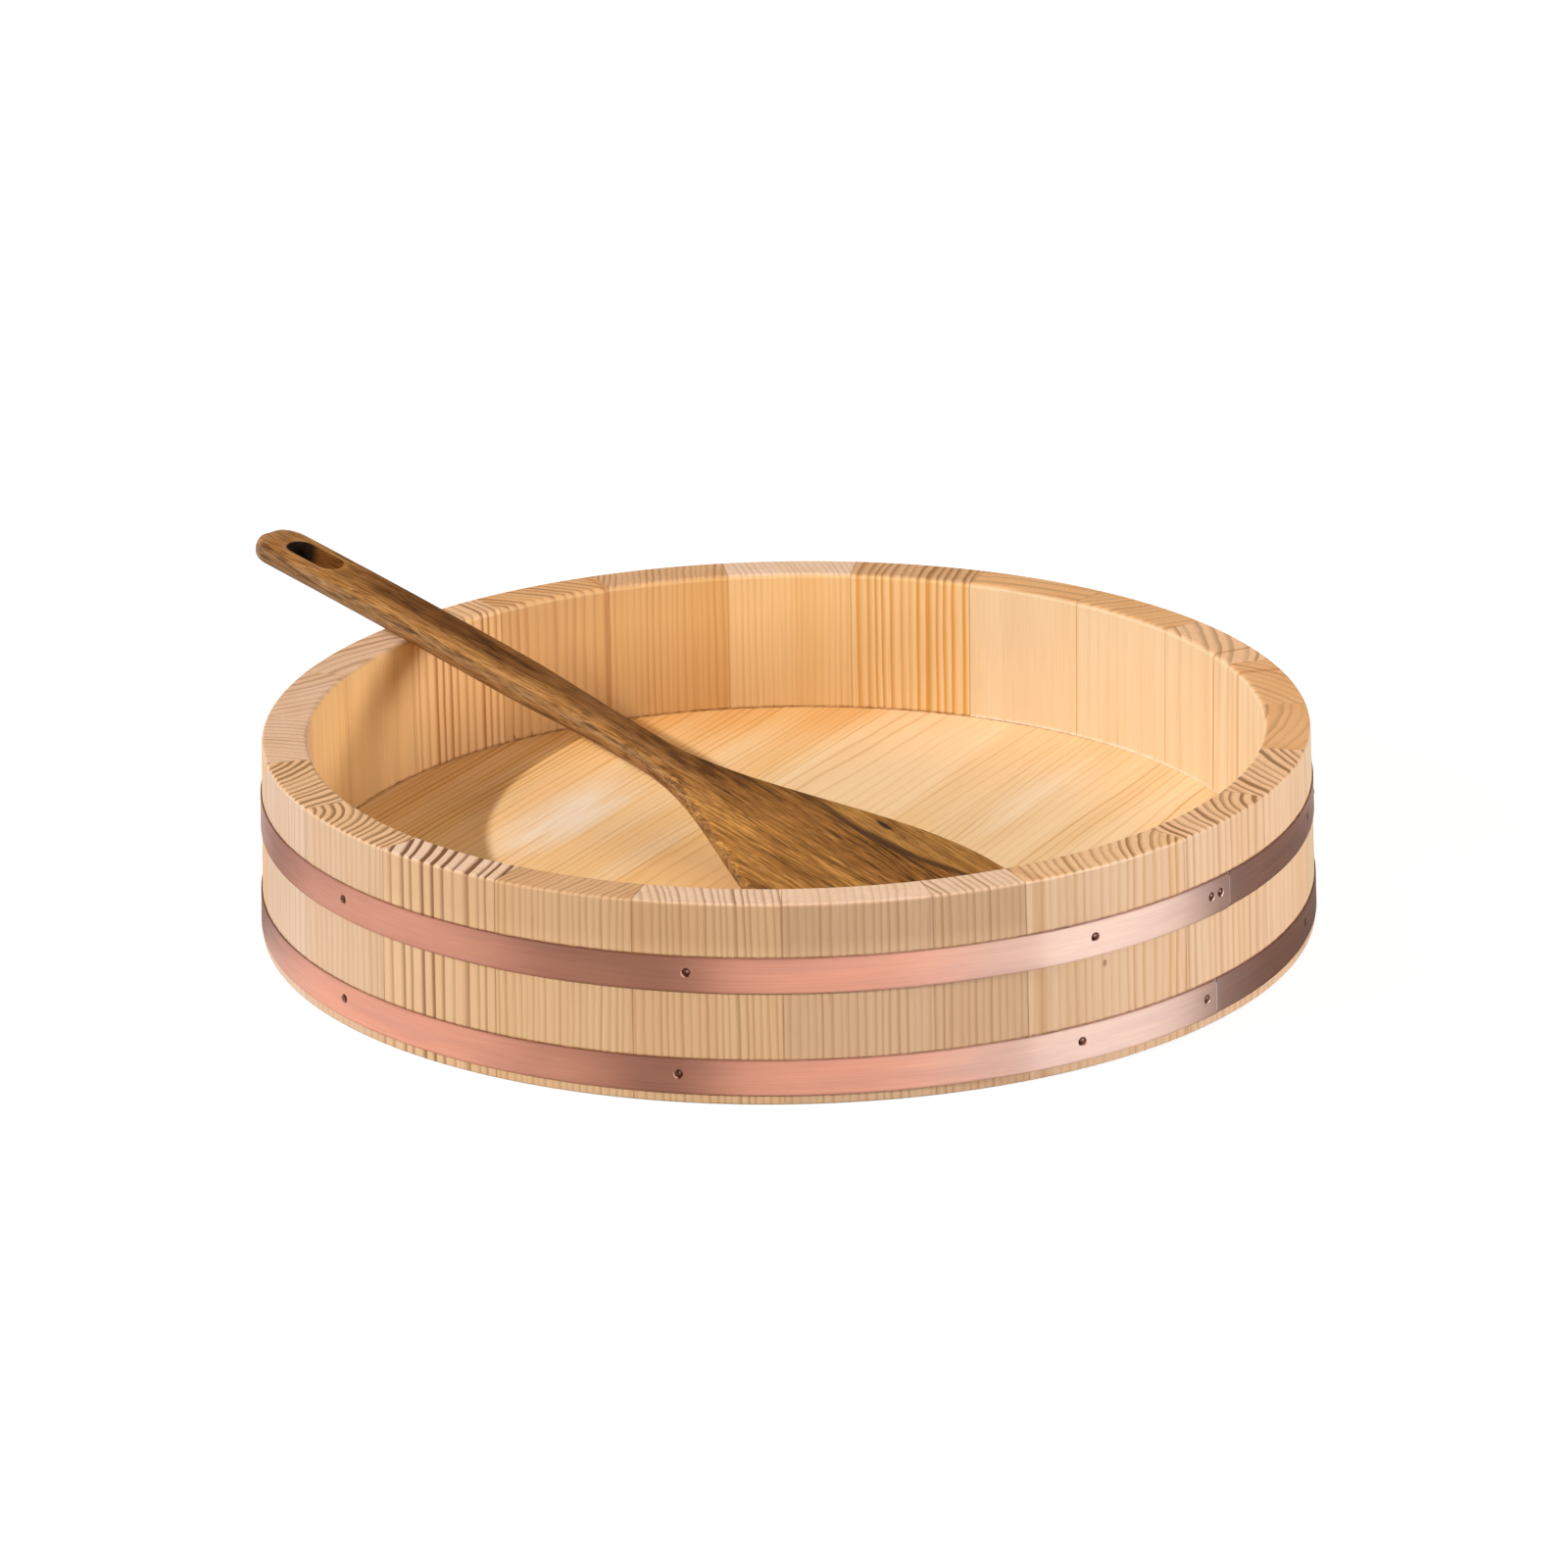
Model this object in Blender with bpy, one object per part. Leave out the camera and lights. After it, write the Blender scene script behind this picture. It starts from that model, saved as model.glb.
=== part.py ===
"""Round wooden tub for dressing sushi rice, with its paddle resting in it.

Wedge-shaped staves stand in a ring and hold a floor of edge-joined boards in a groove near their feet.
Two copper hoops bind the wall: each is a strip wrapped once round, with its ends overlapping, and nailed on.
The paddle leans on the rim with its handle and stands on the floor with the end of its blade.

Metres, +Z up. The origin is on the ground, at the tub's centre.
"""

import math

import bmesh
import bpy

GAP = 0.0003  # clearance wherever two pieces meet

# Wall of staves
RIM_RADIUS = 0.165  # outside, at the top
FOOT_RADIUS = 0.167  # outside, on the ground
INNER_RADIUS = 0.1504
WALL_HEIGHT = 0.0628
RIM_INNER_ROUND = 0.0018
RIM_OUTER_ROUND = 0.001
FOOT_ROUND = 0.0006
STAVE_COUNT = 23
FIRST_JOINT = math.radians(-142.95)
CLOSING_JOINT = 5  # this joint is off the even spacing, so one stave is narrow and the next is wide
CLOSING_SHIFT = math.radians(-5.35)
FACET = math.radians(4.0)  # round surfaces are divided about this finely

# Floor of boards, seated in a groove
FLOOR_TOP = 0.0158
FLOOR_THICKNESS = 0.011
FLOOR_BOTTOM = FLOOR_TOP - FLOOR_THICKNESS
GROOVE_RADIUS = INNER_RADIUS + 0.005
FLOOR_RADIUS = GROOVE_RADIUS - 0.0005
FLOOR_EDGE_BEVEL = 0.001
BOARD_DIRECTION = math.radians(55.75)
BOARD_WIDTH = 0.068
FIRST_BOARD_JOINT = -0.096  # across the boards, from the tub's centre
BOARD_JOINTS = 4
PEG_RADIUS = 0.0025
PEG_LENGTH = 0.024
PEG_TAPER = 0.0006
PEG_PLACES = (-0.06, 0.06)  # along each joint, from its middle

# Copper hoops and their nails
STRIP_THICKNESS = 0.0004
STRIP_HEIGHT = 0.011
STRIP_LIFT = STRIP_THICKNESS + GAP  # how far the outer end stands off over the tucked end
STRIP_RAMP = math.radians(6.0)
STRIP_CORNER = 0.0012  # the strip's corners are cut off by this much
TUCK_PAST_NAIL = math.radians(3.2)
NAIL_ABOVE_MIDDLE = 0.0006
NAIL_LENGTH = 0.009
NAIL_RADIUS = 0.0006
NAIL_HEAD_RADIUS = 0.0012
NAIL_HEAD_HEIGHT = 0.0007
NAIL_SIDES = 8
NAILS_ROUND = 8
HOOPS = {
    "upper_hoop": {
        "foot": 0.0351,
        "outer_end": math.radians(-41.65),
        "end_nails": (math.radians(-43.35), math.radians(-44.95)),
        "first_nail": math.radians(-61.95),
        "nail_spacing": math.radians(44.0),
    },
    "lower_hoop": {
        "foot": 0.0031,
        "outer_end": math.radians(-44.45),
        "end_nails": (math.radians(-46.15),),
        "first_nail": math.radians(-63.85),
        "nail_spacing": math.radians(43.0),
    },
}

# Paddle, measured along its length from the tip of the handle
PADDLE_LENGTH = 0.320
PADDLE_BOW = 0.0028  # its middle is this much higher than its ends
HANDLE_WIDTH = 0.0199
HANDLE_THICKNESS = 0.0073
HANDLE_TIP_ROUND = 0.0098
WAIST_WIDTH = 0.0156
WAIST_START = 0.118
WAIST_END = 0.168
BLADE_START = 0.1845
BLADE_WIDTH = 0.0883
BLADE_FULL = 0.2965
BLADE_END_ROUND = 0.017
BLADE_EDGE_THICKNESS = 0.0035
PADDLE_EDGE_ROUND = 0.0034
HOLE_MIDDLE = 0.0241
HOLE_LENGTH = 0.023
HOLE_WIDTH = 0.009
REST_POINT = 0.077  # where the handle lies on the rim
REST_AZIMUTH = math.radians(136.75)
PADDLE_HEADING = math.radians(-50.0)


def clear_scene():
    for obj in list(bpy.data.objects):
        bpy.data.objects.remove(obj, do_unlink=True)


def make_material(name, colour, roughness, metallic=0.0):
    material = bpy.data.materials.new(name)
    material.use_nodes = True
    shader = material.node_tree.nodes["Principled BSDF"]
    shader.inputs["Base Color"].default_value = (*colour, 1.0)
    shader.inputs["Roughness"].default_value = roughness
    shader.inputs["Metallic"].default_value = metallic
    return material


def make_empty(name, parent=None, angle=0.0):
    empty = bpy.data.objects.new(name, None)
    empty.empty_display_size = 0.05
    empty.rotation_euler.z = angle
    empty.parent = parent
    bpy.context.scene.collection.objects.link(empty)
    return empty


def finish_mesh(bm, name, material=None):
    bmesh.ops.recalc_face_normals(bm, faces=bm.faces)
    mesh = bpy.data.meshes.new(name)
    bm.to_mesh(mesh)
    bm.free()
    mesh.shade_smooth()
    mesh.set_sharp_from_angle(angle=math.radians(30))
    if material:
        mesh.materials.append(material)
    return mesh


def place(name, mesh, parent, location=(0, 0, 0), rotation=(0, 0, 0)):
    obj = bpy.data.objects.new(name, mesh)
    obj.location = location
    obj.rotation_euler = rotation
    obj.parent = parent
    bpy.context.scene.collection.objects.link(obj)
    return obj


def place_cutter(name, mesh, parent, location=(0, 0, 0), rotation=(0, 0, 0)):
    cutter = place(name, mesh, parent, location, rotation)
    cutter.hide_render = True
    cutter.display_type = "WIRE"
    return cutter


def cut(obj, cutter):
    modifier = obj.modifiers.new("cut_" + cutter.name, "BOOLEAN")
    modifier.operation = "DIFFERENCE"
    modifier.solver = "EXACT"
    modifier.object = cutter


def skin(rings, closed_ends=True):
    """A closed body through rings of points that all have the same count."""
    bm = bmesh.new()
    loops = [[bm.verts.new(point) for point in ring] for ring in rings]
    count = len(loops[0])
    for lower, upper in zip(loops, loops[1:]):
        for i in range(count):
            j = (i + 1) % count
            bm.faces.new((lower[i], lower[j], upper[j], upper[i]))
    if closed_ends:
        bm.faces.new(reversed(loops[0]))
        bm.faces.new(loops[-1])
    return bm


def turned(profile, sides):
    """A solid of revolution about X from (x, radius) points, with flat or pointed ends."""
    rings = []
    for x, radius in profile:
        turn = [2 * math.pi * i / sides for i in range(sides)]
        rings.append([(x, radius * math.cos(a), radius * math.sin(a)) for a in turn])
    bm = skin(rings)
    bmesh.ops.remove_doubles(bm, verts=bm.verts, dist=1e-6)
    return bm


def arc(centre_x, centre_y, radius, start, end, steps):
    turn = [start + (end - start) * i / steps for i in range(steps + 1)]
    return [(centre_x + radius * math.cos(a), centre_y + radius * math.sin(a)) for a in turn]


def ease(value, start, end):
    """0 before start and 1 after end, with a smooth rise between them."""
    x = min(max((value - start) / (end - start), 0.0), 1.0)
    return x * x * (3 - 2 * x)


def wall_radius(height):
    return FOOT_RADIUS + (RIM_RADIUS - FOOT_RADIUS) * height / WALL_HEIGHT


def stave_section():
    """Outline of a stave in (radius, height): rounded foot and rim, and the groove for the floor."""
    quarter = math.pi / 2
    corners = (
        (FOOT_RADIUS - FOOT_ROUND, FOOT_ROUND, FOOT_ROUND, -quarter),
        (RIM_RADIUS - RIM_OUTER_ROUND, WALL_HEIGHT - RIM_OUTER_ROUND, RIM_OUTER_ROUND, 0.0),
        (INNER_RADIUS + RIM_INNER_ROUND, WALL_HEIGHT - RIM_INNER_ROUND, RIM_INNER_ROUND, quarter),
    )
    outline = [(INNER_RADIUS, 0.0)]
    for centre_radius, centre_height, corner_round, start in corners:
        outline += arc(centre_radius, centre_height, corner_round, start, start + quarter, 2)
    outline += [
        (INNER_RADIUS, FLOOR_TOP + GAP),
        (GROOVE_RADIUS, FLOOR_TOP + GAP),
        (GROOVE_RADIUS, FLOOR_BOTTOM - GAP),
        (INNER_RADIUS, FLOOR_BOTTOM - GAP),
    ]
    return outline


def stave_mesh(width, material):
    """A stave that spans an angle of width, centred on +X, less half a gap at each side joint."""
    turn = width - GAP / INNER_RADIUS
    bm = bmesh.new()
    side = [
        bm.verts.new((r * math.cos(turn / 2), -r * math.sin(turn / 2), z)) for r, z in stave_section()
    ]
    face = bm.faces.new(side)
    bmesh.ops.spin(
        bm,
        geom=[face, *face.edges, *face.verts],
        axis=(0, 0, 1),
        cent=(0, 0, 0),
        angle=turn,
        steps=math.ceil(turn / FACET),
    )
    return finish_mesh(bm, "stave", material)


def stave_joints():
    joints = [FIRST_JOINT + 2 * math.pi * i / STAVE_COUNT for i in range(STAVE_COUNT + 1)]
    joints[CLOSING_JOINT] += CLOSING_SHIFT
    return joints


def build_staves(parent, material):
    meshes = {}
    staves = []
    joints = stave_joints()
    for i, (start, end) in enumerate(zip(joints, joints[1:])):
        width = round(end - start, 6)
        if width not in meshes:
            meshes[width] = stave_mesh(width, material)
        name = f"stave_{i + 1:02d}"
        staves.append(place(name, meshes[width], parent, rotation=(0, 0, (start + end) / 2)))
    return staves


def stave_at(staves, azimuth):
    joints = stave_joints()
    turned_to = FIRST_JOINT + (azimuth - FIRST_JOINT) % (2 * math.pi)
    return next(stave for stave, end in zip(staves, joints[1:]) if turned_to < end)


def board_outline(low, high, radius):
    """A slice of a disc between two lines across it, anticlockwise, with its grain along X."""
    first = math.asin(max(low / radius, -1.0))
    last = math.asin(min(high / radius, 1.0))
    steps = math.ceil((last - first) / FACET)
    right = arc(0, 0, radius, first, last, steps)
    left = arc(0, 0, radius, math.pi - last, math.pi - first, steps)
    # The first and last boards end in a point on the disc's edge, which both arcs share.
    if high >= radius:
        left = left[1:]
    if low <= -radius:
        left = left[:-1]
    return right + left


def board_mesh(low, high, material):
    """A floor board whose round edges are bevelled above and below to enter the groove."""
    bevel = FLOOR_EDGE_BEVEL
    levels = (
        (0.0, FLOOR_RADIUS - bevel),
        (bevel, FLOOR_RADIUS),
        (FLOOR_THICKNESS - bevel, FLOOR_RADIUS),
        (FLOOR_THICKNESS, FLOOR_RADIUS - bevel),
    )
    rings = []
    for height, radius in levels:
        inset = FLOOR_RADIUS - radius
        bottom = low + inset if low <= -FLOOR_RADIUS else low
        top = high - inset if high >= FLOOR_RADIUS else high
        rings.append([(x, y, height) for x, y in board_outline(bottom, top, radius)])
    return finish_mesh(skin(rings), "floor_board", material)


def peg_mesh(length, radius, taper, material=None):
    half = length / 2
    profile = [(-half, radius - taper), (-half + taper, radius), (half - taper, radius), (half, radius - taper)]
    return finish_mesh(turned(profile, 10), "floor_peg", material)


def build_floor(parent, board_material, peg_material):
    floor = make_empty("floor", parent, BOARD_DIRECTION)
    joints = [FIRST_BOARD_JOINT + BOARD_WIDTH * i for i in range(BOARD_JOINTS)]
    edges = [-FLOOR_RADIUS - GAP / 2, *joints, FLOOR_RADIUS + GAP / 2]
    boards = []
    for i, (low, high) in enumerate(zip(edges, edges[1:])):
        mesh = board_mesh(low + GAP / 2, high - GAP / 2, board_material)
        boards.append(place(f"floor_board_{i + 1}", mesh, floor, location=(0, 0, FLOOR_BOTTOM)))
    peg = peg_mesh(PEG_LENGTH, PEG_RADIUS, PEG_TAPER, peg_material)
    bore = peg_mesh(PEG_LENGTH + 2 * GAP, PEG_RADIUS + GAP, PEG_TAPER)
    number = 0
    for i, across in enumerate(joints):
        for along in PEG_PLACES:
            number += 1
            where = (along, across, FLOOR_BOTTOM + FLOOR_THICKNESS / 2)
            across_boards = (0, 0, math.pi / 2)
            place(f"floor_peg_{number}", peg, floor, where, across_boards)
            cutter = place_cutter(f"peg_bore_{number}", bore, floor, where, across_boards)
            cut(boards[i], cutter)
            cut(boards[i + 1], cutter)


def strip_stations(tucked_end, total):
    """(azimuth, lift, corner cut) along a hoop's strip, from its tucked end to its outer end."""
    corner = STRIP_CORNER / RIM_RADIUS
    steps = math.ceil(total / FACET)
    full_lift = 2 * math.pi - 1.2 * FACET
    stations = [(tucked_end, 0.0, STRIP_CORNER)]
    for i in range(steps + 1):
        sweep = corner + (total - 2 * corner) * i / steps
        lift = STRIP_LIFT * ease(sweep, full_lift - STRIP_RAMP, full_lift)
        stations.append((tucked_end + sweep, lift, 0.0))
    stations.append((tucked_end + total, STRIP_LIFT, STRIP_CORNER))
    return stations


def strip_ring(azimuth, lift, corner, foot):
    low = foot + corner
    high = foot + STRIP_HEIGHT - corner
    ring = []
    for height, outward in ((low, 0), (low, STRIP_THICKNESS), (high, STRIP_THICKNESS), (high, 0)):
        radius = wall_radius(height) + GAP + lift + outward
        ring.append((radius * math.cos(azimuth), radius * math.sin(azimuth), height))
    return ring


def nail_meshes(material):
    """The nail, lying along X with the underside of its head at the origin, and the hole it goes in."""
    nail = [
        (-NAIL_LENGTH, 0.0),
        (-NAIL_LENGTH + 4 * NAIL_RADIUS, NAIL_RADIUS),
        (0.0, NAIL_RADIUS),
        (0.0, NAIL_HEAD_RADIUS),
        (0.4 * NAIL_HEAD_HEIGHT, NAIL_HEAD_RADIUS),
        (0.85 * NAIL_HEAD_HEIGHT, 0.6 * NAIL_HEAD_RADIUS),
        (NAIL_HEAD_HEIGHT, 0.0),
    ]
    under_head = -0.7 * GAP
    past_head = 3 * NAIL_HEAD_HEIGHT
    hole = [
        (-NAIL_LENGTH - GAP, NAIL_RADIUS + GAP),
        (under_head, NAIL_RADIUS + GAP),
        (under_head, NAIL_HEAD_RADIUS + GAP),
        (past_head, NAIL_HEAD_RADIUS + GAP),
    ]
    return (
        finish_mesh(turned(nail, NAIL_SIDES), "nail", material),
        finish_mesh(turned(hole, NAIL_SIDES), "nail_hole"),
    )


def build_hoop(name, sizes, staves, parent, strip_material, nail_material):
    tucked_end = sizes["first_nail"] - TUCK_PAST_NAIL
    total = 2 * math.pi + sizes["outer_end"] - tucked_end
    rings = [strip_ring(*station, sizes["foot"]) for station in strip_stations(tucked_end, total)]
    hoop = place(name, finish_mesh(skin(rings), name, strip_material), parent)

    nail, hole = nail_meshes(nail_material)
    round_nails = [sizes["first_nail"] - sizes["nail_spacing"] * i for i in range(NAILS_ROUND)]
    height = sizes["foot"] + STRIP_HEIGHT / 2 + NAIL_ABOVE_MIDDLE
    for i, azimuth in enumerate([*sizes["end_nails"], *round_nails]):
        doubled = tucked_end < azimuth < sizes["outer_end"]
        radius = wall_radius(height) + GAP + (STRIP_LIFT if doubled else 0.0)
        where = (radius * math.cos(azimuth), radius * math.sin(azimuth), height)
        outward = (0, 0, azimuth)
        place(f"{name}_nail_{i + 1:02d}", nail, parent, where, outward)
        cutter = place_cutter(f"{name}_hole_{i + 1:02d}", hole, parent, where, outward)
        cut(hoop, cutter)
        cut(stave_at(staves, azimuth), cutter)


def round_off(inset, length):
    """Share of full size that is left at this inset from an elliptic end of this length."""
    x = min(max(1 - inset / length, 0.0), 1.0)
    return math.sqrt(1 - x * x)


def paddle_half_width(s):
    waist = HANDLE_WIDTH + (WAIST_WIDTH - HANDLE_WIDTH) * ease(s, WAIST_START, WAIST_END)
    width = waist + (BLADE_WIDTH - WAIST_WIDTH) * ease(s, BLADE_START, BLADE_FULL)
    width *= round_off(s, HANDLE_TIP_ROUND) * round_off(PADDLE_LENGTH - s, BLADE_END_ROUND)
    return width / 2


def paddle_middle(s):
    """Height of the bowed middle plane above the paddle's ends."""
    half = PADDLE_LENGTH / 2
    return PADDLE_BOW * (1 - ((s - half) / half) ** 2)


def paddle_half_thickness(s):
    thinning = min(max((s - WAIST_END) / (PADDLE_LENGTH - WAIST_END), 0.0), 1.0)
    thickness = HANDLE_THICKNESS + (BLADE_EDGE_THICKNESS - HANDLE_THICKNESS) * thinning
    thickness *= round_off(s, PADDLE_EDGE_ROUND) * round_off(PADDLE_LENGTH - s, BLADE_EDGE_THICKNESS / 2)
    return thickness / 2


def paddle_stations():
    """Places along the paddle, closest together where its rounded ends turn fastest."""
    turns = [math.radians(a) for a in (14, 30, 47, 66, 90)]
    tip = [HANDLE_TIP_ROUND * (1 - math.cos(a)) for a in turns]
    end = [PADDLE_LENGTH - BLADE_END_ROUND * (1 - math.cos(a)) for a in reversed(turns)]
    bends = [tip[-1], WAIST_START, WAIST_END, BLADE_START, end[0]]
    pieces = (5, 4, 1, 11)
    middle = []
    for start, stop, count in zip(bends, bends[1:], pieces):
        middle += [start + (stop - start) * i / count for i in range(1, count + 1)]
    return tip + middle[:-1] + end


def paddle_ring(s):
    """Rounded section across the paddle at s, with the handle's underside at the height of its rest point."""
    half_width = paddle_half_width(s)
    half_thickness = paddle_half_thickness(s)
    corner = min(PADDLE_EDGE_ROUND, 0.9 * half_thickness, 0.9 * half_width)
    ring = []
    for i in range(4):
        start = math.pi / 2 * i
        side = 1 if i in (0, 3) else -1
        face = 1 if i < 2 else -1
        centre = (side * (half_width - corner), face * (half_thickness - corner))
        ring += arc(*centre, corner, start, start + math.pi / 2, 3)
    raised = paddle_middle(s) - paddle_middle(REST_POINT) + HANDLE_THICKNESS / 2
    return [(s - REST_POINT, y, z + raised) for y, z in ring]


def hanging_hole_mesh():
    half_width = HOLE_WIDTH / 2
    straight = (HOLE_LENGTH - HOLE_WIDTH) / 2
    middle = HOLE_MIDDLE - REST_POINT
    quarter = math.pi / 2
    outline = arc(middle + straight, 0, half_width, -quarter, quarter, 8)
    outline += arc(middle - straight, 0, half_width, quarter, 3 * quarter, 8)
    past_faces = HANDLE_THICKNESS
    levels = (-past_faces, HANDLE_THICKNESS + past_faces)
    rings = [[(x, y, z) for x, y in outline] for z in levels]
    return finish_mesh(skin(rings), "hanging_hole")


def paddle_pitch():
    """Slope at which the handle lies on the rim and the blade's thinner end stands on the floor."""
    stand_point = PADDLE_LENGTH - BLADE_EDGE_THICKNESS / 2
    reach = stand_point - REST_POINT
    step = paddle_middle(stand_point) - paddle_middle(REST_POINT)
    step += (HANDLE_THICKNESS - BLADE_EDGE_THICKNESS) / 2
    drop = WALL_HEIGHT - FLOOR_TOP
    return math.asin(drop / math.hypot(reach, step)) + math.atan2(step, reach)


def build_paddle(material):
    rest = make_empty("paddle_rest")
    rest.location = (
        INNER_RADIUS * math.cos(REST_AZIMUTH),
        INNER_RADIUS * math.sin(REST_AZIMUTH),
        WALL_HEIGHT + GAP,
    )
    lie = (0, paddle_pitch(), PADDLE_HEADING)
    rings = [paddle_ring(s) for s in paddle_stations()]
    paddle = place("rice_paddle", finish_mesh(skin(rings), "rice_paddle", material), rest, rotation=lie)
    cut(paddle, place_cutter("hanging_hole", hanging_hole_mesh(), rest, rotation=lie))


def main():
    clear_scene()
    stave_wood = make_material("stave_pine", (0.74, 0.52, 0.31), 0.55)
    floor_wood = make_material("floor_pine", (0.80, 0.55, 0.31), 0.55)
    bamboo = make_material("peg_bamboo", (0.66, 0.52, 0.30), 0.5)
    copper = make_material("hoop_copper", (0.72, 0.42, 0.34), 0.35, 1.0)
    nail_metal = make_material("nail_copper", (0.32, 0.16, 0.12), 0.4, 1.0)
    paddle_wood = make_material("paddle_hardwood", (0.22, 0.13, 0.06), 0.5)

    tub = make_empty("tub")
    staves = build_staves(tub, stave_wood)
    build_floor(tub, floor_wood, bamboo)
    for name, sizes in HOOPS.items():
        build_hoop(name, sizes, staves, tub, copper, nail_metal)
    build_paddle(paddle_wood)


main()
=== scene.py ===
from functools import reduce
from math import asin, atan2, ceil, cos, hypot, pi, radians, sin, sqrt

import bmesh
import bpy
from mathutils import Matrix, Vector


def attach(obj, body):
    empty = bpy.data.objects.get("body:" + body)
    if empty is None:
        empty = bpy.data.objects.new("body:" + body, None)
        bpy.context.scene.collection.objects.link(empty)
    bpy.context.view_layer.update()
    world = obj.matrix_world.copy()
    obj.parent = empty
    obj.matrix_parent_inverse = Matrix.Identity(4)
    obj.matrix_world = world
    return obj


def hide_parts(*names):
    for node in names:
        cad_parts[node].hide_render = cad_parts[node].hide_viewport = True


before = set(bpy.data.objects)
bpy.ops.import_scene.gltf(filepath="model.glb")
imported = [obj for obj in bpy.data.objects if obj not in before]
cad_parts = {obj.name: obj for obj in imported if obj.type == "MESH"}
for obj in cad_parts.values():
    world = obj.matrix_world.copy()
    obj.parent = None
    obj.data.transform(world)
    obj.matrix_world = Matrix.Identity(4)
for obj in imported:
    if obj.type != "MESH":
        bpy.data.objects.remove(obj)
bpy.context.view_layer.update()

scene = bpy.context.scene
photoTurn = radians(-5.25)  # the frame is turned this much from the photo's own axes
quarter = pi / 2

# the tub's own sizes, as in the CAD
rimRadius, footRadius, innerRadius, grooveRadius = 0.165, 0.167, 0.1504, 0.1554
wallHeight, floorTop, floorBottom, floorThickness = 0.0628, 0.0158, 0.0048, 0.011


def wallRadius(height):
    return footRadius + (rimRadius - footRadius) * height / wallHeight


# mesh helpers

def easeBetween(value, start, end):
    x = min(max((value - start) / (end - start), 0.0), 1.0)
    return x * x * (3 - 2 * x)


def roundAt(radius, azimuth, z):
    return radius * cos(azimuth), radius * sin(azimuth), z


def arcPoints(centreX, centreY, radius, start, end, steps):
    turns = [start + (end - start) * i / steps for i in range(steps + 1)]
    return [(centreX + radius * cos(a), centreY + radius * sin(a)) for a in turns]


def skinRings(rings):
    bm = bmesh.new()
    loops = [[bm.verts.new(point) for point in ring] for ring in rings]
    count = len(loops[0])
    for lower, upper in zip(loops, loops[1:]):
        for i in range(count):
            j = (i + 1) % count
            bm.faces.new((lower[i], lower[j], upper[j], upper[i]))
    bm.faces.new(reversed(loops[0]))
    bm.faces.new(loops[-1])
    return bm


def turnedBody(profile, sides):
    # (x, radius) points turned about X
    turns = [2 * pi * i / sides for i in range(sides)]
    rings = [[(x, r * cos(a), r * sin(a)) for a in turns] for x, r in profile]
    bm = skinRings(rings)
    bmesh.ops.remove_doubles(bm, verts=bm.verts, dist=1e-7)
    return bm


def smoothMesh(mesh, angle):
    mesh.shade_smooth()
    mesh.set_sharp_from_angle(angle=radians(angle))


def meshObject(name, bm, material=None, smoothAngle=40):
    bmesh.ops.recalc_face_normals(bm, faces=bm.faces)
    mesh = bpy.data.meshes.new(name)
    bm.to_mesh(mesh)
    bm.free()
    smoothMesh(mesh, smoothAngle)
    if material:
        mesh.materials.append(material)
    obj = bpy.data.objects.new(name, mesh)
    scene.collection.objects.link(obj)
    return obj


def drill(obj, cutters, smoothAngle=40):
    # cut the cutters out of the piece for good, then throw them away
    for cutter in cutters:
        cutting = obj.modifiers.new("cut", "BOOLEAN")
        cutting.operation = "DIFFERENCE"
        cutting.solver = "EXACT"
        cutting.object = cutter
    bpy.context.view_layer.update()
    graph = bpy.context.evaluated_depsgraph_get()
    cutMesh = bpy.data.meshes.new_from_object(obj.evaluated_get(graph))
    obj.modifiers.clear()
    cutMesh.name = obj.name
    obj.data = cutMesh
    smoothMesh(cutMesh, smoothAngle)
    for cutter in cutters:
        bpy.data.objects.remove(cutter, do_unlink=True)


def settle(obj):
    # write the piece's place into its mesh
    obj.data.transform(obj.matrix_basis)
    obj.matrix_basis = Matrix.Identity(4)


def evenNormals(obj):
    # flat faces keep their own shading beside small round edges
    weighted = obj.modifiers.new("evenNormals", "WEIGHTED_NORMAL")
    weighted.keep_sharp = True
    weighted.weight = 50


def handOver(obj, body, node):
    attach(obj, body)
    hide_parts(node)


# node helpers: they work in the tree of the sockets that they are given

def isSocket(value):
    return isinstance(value, bpy.types.NodeSocket)


def treeOf(*values):
    return next(value.id_data for value in values if isSocket(value))


def plug(value, socket):
    if isSocket(value):
        socket.id_data.links.new(value, socket)
    else:
        socket.default_value = value


def addNode(tree, kind, sockets=None, **settings):
    node = tree.nodes.new(kind)
    for key, value in settings.items():
        setattr(node, key, value)
    for key, value in (sockets or {}).items():
        plug(value, node.inputs[key])
    return node


def calc(operation, *values, kind="Math", out=0):
    sockets = dict(enumerate(values))
    return addNode(treeOf(*values), "ShaderNode" + kind, sockets, operation=operation).outputs[out]


def vectorCalc(operation, *values, out=0):
    return calc(operation, *values, kind="VectorMath", out=out)


def times(first, second):
    return calc("MULTIPLY", first, second)


def minus(first, second):
    return calc("SUBTRACT", first, second)


def timesPlus(first, second, third):
    return calc("MULTIPLY_ADD", first, second, third)


def apart(first, second):
    return calc("ABSOLUTE", minus(first, second))


def inUnits(value, middle, unit):
    return calc("DIVIDE", minus(value, middle), unit)


def distance(x, y):
    return calc("SQRT", calc("ADD", times(x, x), times(y, y)))


def ramp(value, low, high, toLow=0.0, toHigh=1.0):
    # smooth step from toLow to toHigh while value goes from low to high
    sockets = {"Value": value, "From Min": low, "From Max": high, "To Min": toLow, "To Max": toHigh}
    node = addNode(value.id_data, "ShaderNodeMapRange", sockets, interpolation_type="SMOOTHSTEP")
    return node.outputs[0]


def fade(value, near, far, depth=1.0):
    return ramp(value, near, far, depth, 0.0)


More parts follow.
